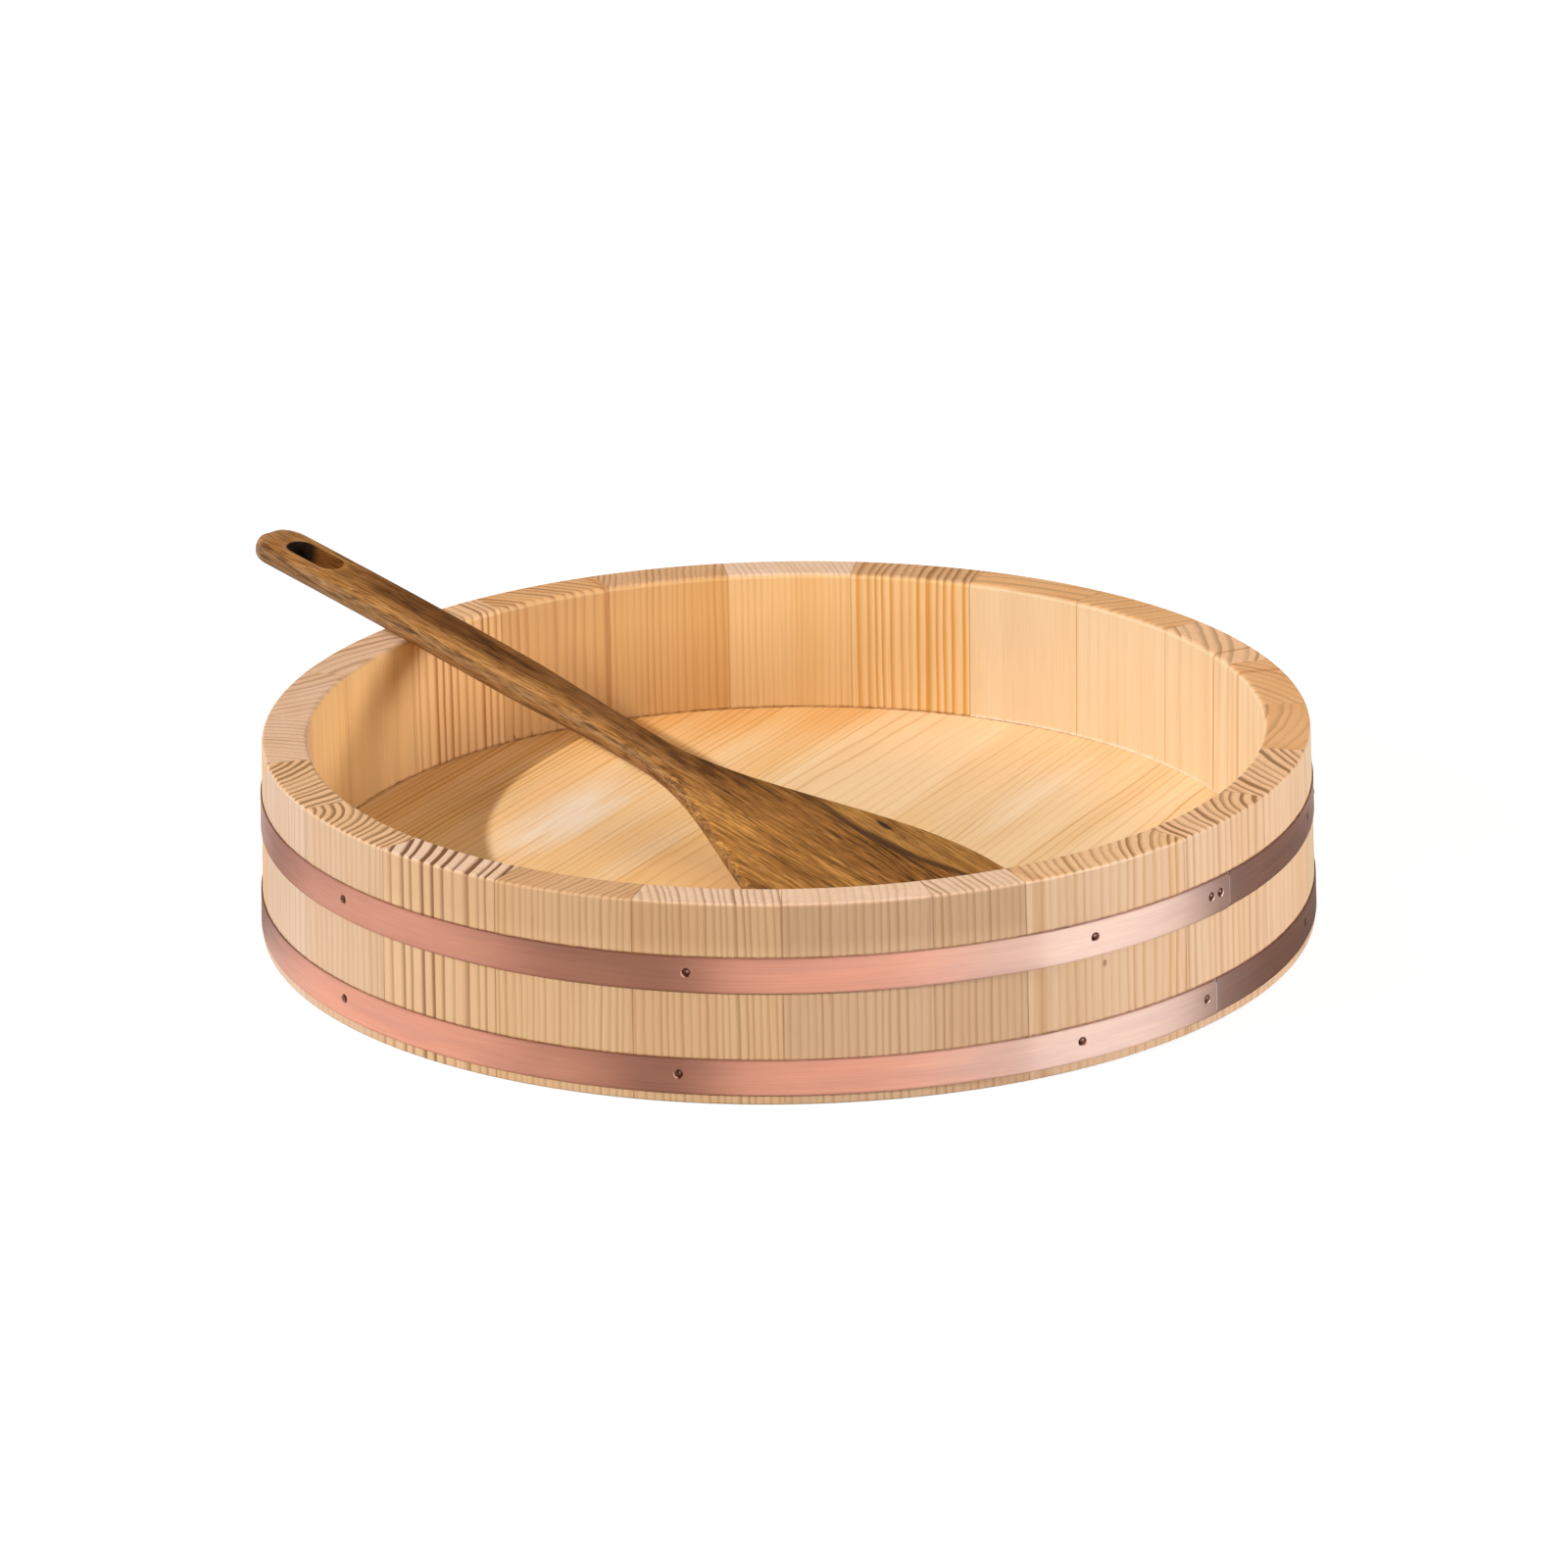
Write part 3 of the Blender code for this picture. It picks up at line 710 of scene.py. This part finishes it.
# pith in mm: first across the boards, then up from the board's underside
# tanned: from where to where along the board, in mm
# washed patches: along and across the boards, half their length and width in mm, how pale,
# and how far across they start, if they stop short there
boardLooks = {
    1: dict(pith=(-150, 60), gap=2.6, ringMix=0.6, pale="blond", late="amber", lateStart=0.6,
            wobble=4.0),
    2: dict(pith=(-130, -60), gap=2.4, ringMix=0.5, pale="blond", late="amber", lateStart=0.64,
            wobble=4.5, lean=0.03, washed=(92, -44, 50, 12, 0.5)),
    3: dict(pith=(60, -50), gap=3.2, ringMix=0.3, pale="milk", late="amber", lateStart=0.66,
            wobble=4.5, lean=-0.02, tanned=(15, 70)),
    4: dict(pith=(190, -70), gap=2.2, ringMix=0.48, pale="apricot", late="amber", lateStart=0.55,
            wobble=4.0, washed=(4, 84, 50, 17, 0.9), washedFrom=70.5),
    # board 5 lies in the rim's shadow: its darker, more saturated tint is painted shade
    5: dict(pith=(200, 40), gap=2.3, ringMix=0.7, pale="wheat", late="resin", lateStart=0.5),
}


def boardOutline(low, high, radius, steps):
    first, last = asin(max(low / radius, -1.0)), asin(min(high / radius, 1.0))
    right = arcPoints(0, 0, radius, first, last, steps)
    left = arcPoints(0, 0, radius, pi - last, pi - first, steps)
    if high >= radius:
        left = left[1:]
    if low <= -radius:
        left = left[:-1]
    return right + left


def boardBody(low, high):
    bevel, radius = floorBoards["edgeBevel"], floorBoards["radius"]
    thick, nick = floorThickness, floorBoards["jointBevel"]
    levels = (  # height, inset of the round edge, inset at the joints
        (0.0, bevel, 0.0), (bevel, 0.0, 0.0), (thick - bevel, 0.0, 0.0),
        (thick - 0.9 * nick, 0.9 * bevel, 0.0), (thick - 0.25 * nick, 0.97 * bevel, 0.35 * nick),
        (thick, bevel, nick),
    )
    atSide = low <= -radius or high >= radius
    steps = floorBoards["sideSteps" if atSide else "middleSteps"]
    rings = []
    for z, inset, pulled in levels:
        bottom = low + (inset if low <= -radius else pulled)
        top = high - (inset if high >= radius else pulled)
        rings.append([(x, y, z) for x, y in boardOutline(bottom, top, radius - inset, steps)])
    return skinRings(rings)


def boardWood(number, looks):
    look = Look(f"floorPine_{number}", boardTints)
    where = inPiece(look.where, (0, 0, floorBottom), (0, 0, floorBoards["direction"]))
    x, y, z = parts(where)
    tints = pineTints[looks["pale"]], lateTints[looks["late"]]
    grain = pineGrain(joined(y, z, x), looks, 11.3 * number, looks["ringMix"], *tints)
    look.colour, roughness, height = grain
    # paler and yellower bands along the grain
    bands = noise(where, floorBoards["bands"], 4.3 * number)
    look.lay("bands", ramp(bands, 0.45, 0.65, 0.0, 0.3))
    if "tanned" in looks:  # browner towards the front end
        front, back = (v / 1000 for v in looks["tanned"])
        look.stain("tanned", fade(x, front, back))
    if "washed" in looks:  # a streaky pale patch
        middleX, middleY, halfX, halfY = (v / 1000 for v in looks["washed"][:4])
        away = distance(inUnits(x, middleX, halfX), inUnits(y, middleY, halfY))
        streaky = noise(where, floorBoards["washing"], 7.0, 3.0, 0.6)
        washed = fade(away, 0.2, 1.15, looks["washed"][4])
        washed = times(washed, ramp(streaky, 0.36, 0.58, 0.35, 1.0))
        if "washedFrom" in looks:
            start = looks["washedFrom"] / 1000
            washed = times(washed, ramp(y, start, start + 0.003))
        look.lay("washed", washed)
    # thin stain along the wall, only where its crack is open
    fromAxis = distance(x, y)
    uneven = noise(where, floorBoards["patches"], 2.9 * number, 3.0, 0.6)
    opened = times(ramp(uneven, 0.35, 0.65, 0.2, 1.0), ramp(y, -0.06, 0.0))
    look.stain("stain", opened, ramp(fromAxis, 0.1494, 0.1503, 0.0, 0.7))
    # painted shade: the paddle's soft, warm shadow over the back ends on that side
    backEnds = times(ramp(x, 0.04, 0.09), ramp(y, 0.02, 0.06))
    look.stain("paintedPaddleShade", backEnds, ramp(fromAxis, 0.105, 0.145))
    return look.finish(roughness, (height, 0.2, 0.0002), 0.32)


def pegBamboo():
    look = Look("pegBamboo", bambooTints)
    strands = noise(look.where, floorBoards["strands"], 1.0, 3.0, 0.6)
    look.lay("light", ramp(strands, 0.3, 0.7))
    return look.finish(ramp(strands, 0.3, 0.7, 0.42, 0.58), (strands, 0.2, 0.0002))


def buildFloor():
    f = floorBoards
    radius, gap, taper = f["radius"], f["jointGap"], f["pegTaper"]
    joints = [f["firstJoint"] + f["width"] * i for i in range(f["joints"])]
    edges = [-radius - gap / 2, *joints, radius + gap / 2]
    turn = Matrix.Rotation(f["direction"], 4, "Z")
    acrossBoards = Matrix.Rotation(quarter, 4, "Z")
    half, clear = f["pegLength"] / 2 + f["boreSpare"], f["pegRadius"] + f["boreClear"]
    boreProfile = [(-half, clear - taper), (-half + taper, clear)]
    boreProfile += [(half - taper, clear), (half, clear - taper)]
    for i, (low, high) in enumerate(zip(edges, edges[1:])):
        number = i + 1
        wood = boardWood(number, boardLooks[number])
        board = meshObject(f"floorPlank_{number}", boardBody(low + gap / 2, high - gap / 2), wood)
        board.matrix_basis = turn @ Matrix.Translation((0, 0, floorBottom))
        settle(board)
        bores = []
        for across in joints[max(i - 1, 0):i + 1]:
            for along in f["pegPlaces"]:
                place = Matrix.Translation((along, across, floorBottom + floorThickness / 2))
                bore = meshObject("pegBore", turnedBody(boreProfile, f["boreSides"]))
                bore.matrix_basis = turn @ place @ acrossBoards
                bores.append(bore)
        drill(board, bores)
        evenNormals(board)
        handOver(board, "tub", f"floor_board_{number}")
    bamboo = pegBamboo()
    for number in range(1, f["pegs"] + 1):  # the CAD's own pegs stay, hidden in the joints
        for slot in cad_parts[f"floor_peg_{number}"].material_slots:
            slot.material = bamboo


# rice paddle, measured along its length from the tip of the handle

paddle = {
    "length": 0.320, "bow": 0.0028,
    "handleWidth": 0.0199, "handleThickness": 0.0073, "tipRound": 0.0098,
    "waistWidth": 0.0156, "waistStart": 0.118, "waistEnd": 0.168,
    "bladeStart": 0.1845, "bladeWidth": 0.0883, "bladeFull": 0.2965, "bladeEndRound": 0.017,
    "bladeEdge": 0.0035, "edgeRound": 0.0034,
    "holeMiddle": 0.0241, "holeLength": 0.023, "holeWidth": 0.009,
    "holeLip": 0.0009, "lipTurns": (0.0, 0.35, 0.7, 1.05, 1.4),
    "holeTrim": 0.0003, "cutterPast": 0.002, "cutterFlare": 0.0009,
    "restPoint": 0.077, "restAzimuth": radians(136.75), "heading": radians(-50.0),
    "restGap": 0.00028,
    "endTurns": (3, 6, 9, 12, 16, 20, 25, 30, 35, 40, 45, 51, 57, 63, 70, 77, 84, 90),
    "stations": 96, "smooth": 60, "shine": 0.28, "holeShine": 0.03,
    "sway": (16, 40, 40), "broad": (9, 75, 75), "streaks": (24, 460, 460),
    "flecks": (95, 1250, 1250), "mottle": (75, 400, 400), "pores": (110, 2300, 2300),
    "goldFrom": 0.255, "goldAside": 0.0198, "goldCurve": 5.0,
    "knotAt": (0.2612, 0.0283), "knotSize": (0.0040, 0.0013),
}
paddleTints = {
    "base": (0.09, 0.031, 0.006), "brown": (0.36, 0.148, 0.031), "light": (0.70, 0.335, 0.082),
    "handle": (0.42, 0.205, 0.078), "farSideShade": (0.42, 0.34, 0.26), "tip": (0.50, 0.28, 0.14),
    "mottle": (0.36, 0.29, 0.22), "edge": (0.66, 0.71, 0.76), "goldDark": (0.36, 0.158, 0.035),
    "goldLight": (0.60, 0.30, 0.076), "goldLine": (0.07, 0.028, 0.014),
    "knot": (0.03, 0.012, 0.007), "pores": (0.04, 0.017, 0.008), "lip": (0.50, 0.26, 0.095),
    "holeDeepShade": (0.004, 0.003, 0.003), "holeLightShade": (0.17, 0.058, 0.011),
    "holeShadeFlecks": (0.45, 0.4, 0.35),
}


def roundOff(inset, length):
    x = min(max(1 - inset / length, 0.0), 1.0)
    return sqrt(1 - x * x)


def paddleHalfWidth(s):
    p = paddle
    narrowing = easeBetween(s, p["waistStart"], p["waistEnd"])
    widening = easeBetween(s, p["bladeStart"], p["bladeFull"])
    width = p["handleWidth"] + (p["waistWidth"] - p["handleWidth"]) * narrowing
    width += (p["bladeWidth"] - p["waistWidth"]) * widening
    return width * roundOff(s, p["tipRound"]) * roundOff(p["length"] - s, p["bladeEndRound"]) / 2


def paddleMiddle(s):
    half = paddle["length"] / 2
    return paddle["bow"] * (1 - ((s - half) / half) ** 2)


def paddleRaised(s):
    return paddleMiddle(s) - paddleMiddle(paddle["restPoint"]) + paddle["handleThickness"] / 2


def paddleHalfThickness(s):
    p = paddle
    thinning = min(max((s - p["waistEnd"]) / (p["length"] - p["waistEnd"]), 0.0), 1.0)
    thick = p["handleThickness"] + (p["bladeEdge"] - p["handleThickness"]) * thinning
    return thick * roundOff(s, p["edgeRound"]) * roundOff(p["length"] - s, p["bladeEdge"] / 2) / 2


def paddleStations():
    p, count = paddle, paddle["stations"]
    bends = [1 - cos(radians(a)) for a in p["endTurns"]]
    tip = [p["tipRound"] * bend for bend in bends]
    end = [p["length"] - p["bladeEndRound"] * bend for bend in reversed(bends)]
    return tip + [tip[-1] + (end[0] - tip[-1]) * i / count for i in range(1, count)] + end


def paddleRing(s):
    halfWidth, halfThick = paddleHalfWidth(s), paddleHalfThickness(s)
    corner = min(paddle["edgeRound"], 0.96 * halfThick, 0.9 * halfWidth)
    wide, high = halfWidth - corner, halfThick - corner
    ring = []
    for i, (side, face) in enumerate(((1, 1), (-1, 1), (-1, -1), (1, -1))):
        start = quarter * i
        ring += arcPoints(side * wide, face * high, corner, start, start + quarter, 7)
    return [(s - paddle["restPoint"], y, z + paddleRaised(s)) for y, z in ring]


def holeHalves():
    # half of its straight part, and its half width
    return (paddle["holeLength"] - paddle["holeWidth"]) / 2, paddle["holeWidth"] / 2


def hangingHole():
    # spool-shaped, so that the lips of the hole come out rounded
    p = paddle
    halfThick, lip = p["handleThickness"] / 2, p["holeLip"]
    straight, halfWidth = holeHalves()
    levels = [(halfThick - lip + lip * sin(a), lip - lip * cos(a)) for a in p["lipTurns"]]
    levels.append((halfThick + p["cutterPast"], levels[-1][1] + p["cutterFlare"]))
    rings = []
    for z, flare in [(-z, flare) for z, flare in reversed(levels)] + levels:
        half = halfWidth - p["holeTrim"] + flare
        outline = arcPoints(p["holeMiddle"] + straight, 0, half, -quarter, quarter, 14)
        outline += arcPoints(p["holeMiddle"] - straight, 0, half, quarter, 3 * quarter, 14)
        rings.append([(s - p["restPoint"], y, z + paddleRaised(s)) for s, y in outline])
    return skinRings(rings)


def paddlePitch():
    # the slope at which it lies on the rim and stands on the floor
    p = paddle
    stand = p["length"] - p["bladeEdge"] / 2
    reach = stand - p["restPoint"]
    step = paddleMiddle(stand) - paddleMiddle(p["restPoint"])
    step += (p["handleThickness"] - p["bladeEdge"]) / 2
    drop = wallHeight - floorTop
    return asin(drop / hypot(reach, step)) + atan2(step, reach)


def paddlePlace():
    height = wallHeight + paddle["restGap"]
    place = roundAt(innerRadius, paddle["restAzimuth"], height)
    return place, (0, paddlePitch(), paddle["heading"])


def paddleWood(name, shine):
    p, tints = paddle, paddleTints
    look = Look(name, tints)
    location, rotation = paddlePlace()
    where = inPiece(look.where, location, rotation)
    x, y, z = parts(where)
    s = calc("ADD", x, p["restPoint"])
    # streaks run with the paddle and sway a little
    swayed = joined(x, timesPlus(noise(where, p["sway"], 3.0), 0.006, y), z)
    broad = noise(swayed, p["broad"], 8.0, 3.0, 0.55)
    streaks = noise(swayed, p["streaks"], 1.0, 4.0, 0.65)
    flecks = noise(swayed, p["flecks"], 6.0, 3.0, 0.6)
    tone = timesPlus(flecks, 0.37, calc("ADD", times(broad, 0.3), times(streaks, 0.33)))
    look.lay("brown", ramp(tone, 0.39, 0.495))
    look.lay("light", ramp(tone, 0.49, 0.62))
    # the handle is worn greyer on its near side; down its far side it is darker, painted shade such
    # as a rounder handle would have
    look.lay("handle", fade(s, 0.19, 0.235), ramp(tone, 0.45, 0.6, 0.0, 0.65))
    farSide = ramp(timesPlus(minus(streaks, 0.5), 0.014, y), -0.006, 0.0005, 0.0, 0.85)
    look.stain("farSideShade", farSide, ramp(s, 0.03, 0.06, 0.25, 1.0), fade(s, 0.2, 0.25))
    look.lay("tip", fade(s, 0.001, 0.012, 0.45))
    # mottled darker, most of all at the waist
    mottle = ramp(noise(swayed, p["mottle"], 4.0, 3.0, 0.65), 0.48, 0.6, 0.0, 0.75)
    look.stain("mottle", mottle, ramp(s, 0.12, 0.18, 0.35, 1.0), ramp(s, 0.205, 0.245, 1.0, 0.15))
    # darker round the edges: painted shade on the faces that turn sideways
    sideways = calc("ABSOLUTE", parts(inPiece(look.normal, (0, 0, 0), rotation))[1])
    look.stain("edge", ramp(sideways, 0.45, 0.8, 0.0, 0.85))
    # golden sapwood along one edge of the blade, with a dark line beside it and a small knot
    away = minus(s, p["goldFrom"])
    edge = timesPlus(times(away, away), p["goldCurve"], p["goldAside"])
    past = minus(y, timesPlus(minus(broad, 0.5), 0.006, edge))
    onBlade = ramp(s, 0.225, 0.255)
    gold = mixColour(ramp(streaks, 0.35, 0.65), tints["goldDark"], tints["goldLight"])
    look.lay(gold, onBlade, ramp(past, 0.0, 0.003, 0.0, 0.75))
    look.lay("goldLine", onBlade, fade(calc("ABSOLUTE", past), 0.0004, 0.0026, 0.85))
    offKnot = [inUnits(*sizes) for sizes in zip((s, y), p["knotAt"], p["knotSize"])]
    knot = timesPlus(minus(flecks, 0.5), 0.8, distance(*offKnot))
    look.lay("knot", fade(knot, 0.5, 1.15, 0.92))
    # open pores as short dark dashes
    pores = ramp(noise(swayed, p["pores"], 2.0, 1.0), 0.55, 0.66, 0.0, 0.6)
    look.lay("pores", pores)
    # the hanging hole: its lip is worn pale; inside it is painted shade, black towards the handle's
    # tip and brown further on
    straight, half = holeHalves()
    toHole = distance(calc("MAXIMUM", minus(apart(s, p["holeMiddle"]), straight), 0.0), y)
    lip = fade(toHole, half + 0.0012, half + 0.0034, 0.3)
    look.lay("lip", lip, ramp(streaks, 0.3, 0.6, 0.4, 1.0))
    fromTip = ramp(s, p["holeMiddle"] - 0.0065, p["holeMiddle"] - 0.0015)
    holeShade = mixColour(fromTip, tints["holeDeepShade"], tints["holeLightShade"])
    inHole = fade(toHole, half + 0.0001, half + 0.0007, 0.96)
    look.lay(darken(fade(flecks, 0.35, 0.65), holeShade, tints["holeShadeFlecks"]), inHole)
    roughness = timesPlus(inHole, 0.4, ramp(flecks, 0.25, 0.75, 0.58, 0.44))
    return look.finish(roughness, (minus(times(flecks, 0.6), pores), 0.35, 0.0002), shine)


def buildPaddle():
    p = paddle
    body = skinRings([paddleRing(s) for s in paddleStations()])
    wood = paddleWood("paddleHardwood", p["shine"])
    piece = meshObject("carvedRicePaddle", body, wood, p["smooth"])
    drill(piece, [meshObject("holeCutter", hangingHole())], p["smooth"])
    piece.data.materials.append(paddleWood("paddleHoleWall", p["holeShine"]))
    straight, half = holeHalves()
    for face in piece.data.polygons:
        past = max(abs(face.center.x + p["restPoint"] - p["holeMiddle"]) - straight, 0.0)
        if hypot(past, face.center.y) < half + 0.0002:  # inside the hanging hole
            face.material_index = 1
    piece.location, piece.rotation_euler = paddlePlace()
    settle(piece)
    handOver(piece, "paddle", "rice_paddle")


stavePieces = buildStaves()
print("staves:", len(stavePieces))
metal = nailMetal()
for which in ("upper", "lower"):
    buildHoop(which, stavePieces, metal)
    print(which, "hoop wrapped and nailed")
for i, piece in enumerate(stavePieces):
    evenNormals(piece)
    handOver(piece, "tub", f"stave_{i + 1:02d}")
buildFloor()
print("floor boards laid")
buildPaddle()
print("paddle carved")


# floor, light and camera

studio = {
    "floorSize": 8.0, "floorDrop": 0.0003,
    "floorGlow": 0.86,  # white that the floor shows the camera by itself
    "floorShine": 0.12,  # the same in the copper, where the near floor lies in shade
    "floorShadow": 0.25, "floorBounce": 0.3,  # its own colour as seen, and as it lights the tub
    "nearGlow": 1.0, "nearAzimuth": -143,  # lit floor close to the foot, mirrored by the lower hoop
    "nearReach": 0.2, "nearFade": 0.06,
    "farGlow": 0.7,  # and behind the tub
    "world": 0.06,
    "lightsAim": 0.03,
}
# azimuth and elevation in the photo's own axes, distance and size in metres, level and tint
# lamps light the surfaces, their level is what a white card would show
lamps = {
    "key": (-149, 35.5, 8.0, (0.2, 0.2), 1.0, (0.98, 1.0, 1.05)),
    "rightBox": (-23, 10, 1.6, (0.75, 0.3), 0.76, (1.04, 1.0, 1.06)),
    "leftBox": (176, 10, 1.8, (0.9, 0.3), 0.08, (0.85, 1.0, 1.2)),
    "topBox": (-110, 80, 2.2, (3.4, 3.4), 0.54, (1.0, 0.88, 0.68)),
    "backBox": (100, 8, 2.2, (1.6, 0.3), 0.5, (1.0, 1.0, 1.0)),
}
# cards are only mirrored in the copper, their level is how bright they look
cards = {
    "leftCard": (178, 16, 1.8, (2.2, 0.9), 2.6, (0.97, 1.0, 1.08)),
    "frontCard": (-80, 16, 2.2, (2.1, 1.1), 4.5, (1.0, 1.0, 1.05)),
    "cornerCard": (-50, 16, 1.8, (0.75, 0.9), 3.8, (0.62, 1.02, 1.28)),
    "rightCard": (-20, 16, 1.8, (1.4, 0.9), 9.5, (0.6, 1.04, 1.36)),
}


def towards(azimuth, elevation):
    azimuth += photoTurn
    flat = cos(elevation)
    return Vector((flat * cos(azimuth), flat * sin(azimuth), sin(elevation)))


def paleFloor():
    half, drop = studio["floorSize"] / 2, studio["floorDrop"]
    corners = ((-1, -1), (1, -1), (1, 1), (-1, 1))
    bm = bmesh.new()
    bm.faces.new([bm.verts.new((x * half, y * half, -drop)) for x, y in corners])
    material = bpy.data.materials.new("paleFloor")
    material.use_nodes = True
    tree = material.node_tree
    tree.nodes.clear()
    rays = addNode(tree, "ShaderNodeLightPath").outputs
    seen = calc("MAXIMUM", rays["Is Camera Ray"], rays["Is Transmission Ray"])
    # how bright the floor is in the copper
    spot = addNode(tree, "ShaderNodeTexCoord").outputs["Object"]
    length = vectorCalc("LENGTH", spot, out="Value")
    near = towards(radians(studio["nearAzimuth"]), 0.0)
    near = vectorCalc("DOT_PRODUCT", spot, near, out="Value")
    lit = ramp(calc("DIVIDE", near, length), 0.75, 0.9)
    reach = studio["nearReach"]
    lit = times(lit, fade(length, reach, reach + studio["nearFade"]))
    behind = ramp(calc("DIVIDE", parts(spot)[1], length), 0.2, 0.6)
    shine = timesPlus(lit, studio["nearGlow"], studio["floorShine"])
    shine = timesPlus(behind, studio["farGlow"], shine)
    glow = timesPlus(seen, studio["floorGlow"], times(rays["Is Glossy Ray"], shine))
    bounce = studio["floorBounce"]
    shade = timesPlus(seen, studio["floorShadow"] - bounce, bounce)
    white = addNode(tree, "ShaderNodeEmission", {"Color": (1.0, 1.0, 1.0, 1.0), "Strength": glow})
    matt = addNode(tree, "ShaderNodeBsdfDiffuse", {"Color": shade})
    both = addNode(tree, "ShaderNodeAddShader", {0: white.outputs[0], 1: matt.outputs[0]})
    addNode(tree, "ShaderNodeOutputMaterial", {"Surface": both.outputs[0]})
    floor = meshObject("paleFloor", bm, material)


def hangLight(name, azimuth, elevation, far, size, level, tint):
    lamp = name in lamps
    away = towards(radians(azimuth), radians(elevation))
    data = bpy.data.lights.new(name, "AREA")
    data.shape = "RECTANGLE"
    data.size, data.size_y = size
    data.energy = level * pi * (pi * far ** 2 if lamp else size[0] * size[1])
    data.color = tint
    hung = bpy.data.objects.new(name, data)
    hung.location = Vector((0, 0, studio["lightsAim"])) + away * far
    hung.rotation_euler = away.to_track_quat("Z", "Y").to_euler()
    hung.visible_camera, hung.visible_diffuse, hung.visible_glossy = False, lamp, not lamp
    scene.collection.objects.link(hung)


def hangLights():
    for name, light in {**lamps, **cards}.items():
        hangLight(name, *light)
    world = bpy.data.worlds.new("softRoom")
    world.use_nodes = True
    back = world.node_tree.nodes["Background"]
    back.inputs[0].default_value = (1.0, 1.0, 1.0, 1.0)
    back.inputs[1].default_value = studio["world"]
    scene.world = world


# camera fitted to the photo's rim, foot and hoops; pixels are those of the 1600 x 1600 photo
camera = {
    "focalPixels": 7680.76, "distance": 2.38264, "sensor": 36.0, "clipEnd": 50.0,
    "azimuth": radians(-90), "elevation": radians(19.81), "roll": radians(-0.97),
    "centre": (803.45, 831.04), "aimHeight": 0.031585, "pixels": 1600,
}


def placeCamera():
    c, pixels = camera, camera["pixels"]
    back = towards(c["azimuth"], c["elevation"])
    data = bpy.data.cameras.new("photoCamera")
    data.sensor_width = c["sensor"]
    data.lens = c["focalPixels"] / pixels * c["sensor"]
    data.shift_x = (pixels / 2 - c["centre"][0]) / pixels
    data.shift_y = (c["centre"][1] - pixels / 2) / pixels
    data.clip_end = c["clipEnd"]
    view = bpy.data.objects.new("photoCamera", data)
    aim = Matrix.Translation(back * c["distance"] + Vector((0, 0, c["aimHeight"])))
    facing = back.to_track_quat("Z", "Y").to_matrix().to_4x4()
    view.matrix_world = aim @ facing @ Matrix.Rotation(c["roll"], 4, "Z")
    scene.collection.objects.link(view)
    scene.camera = view


paleFloor()
hangLights()
placeCamera()
scene.view_settings.view_transform = "Standard"
print("floor, lamps and camera set")

bpy.context.view_layer.update()
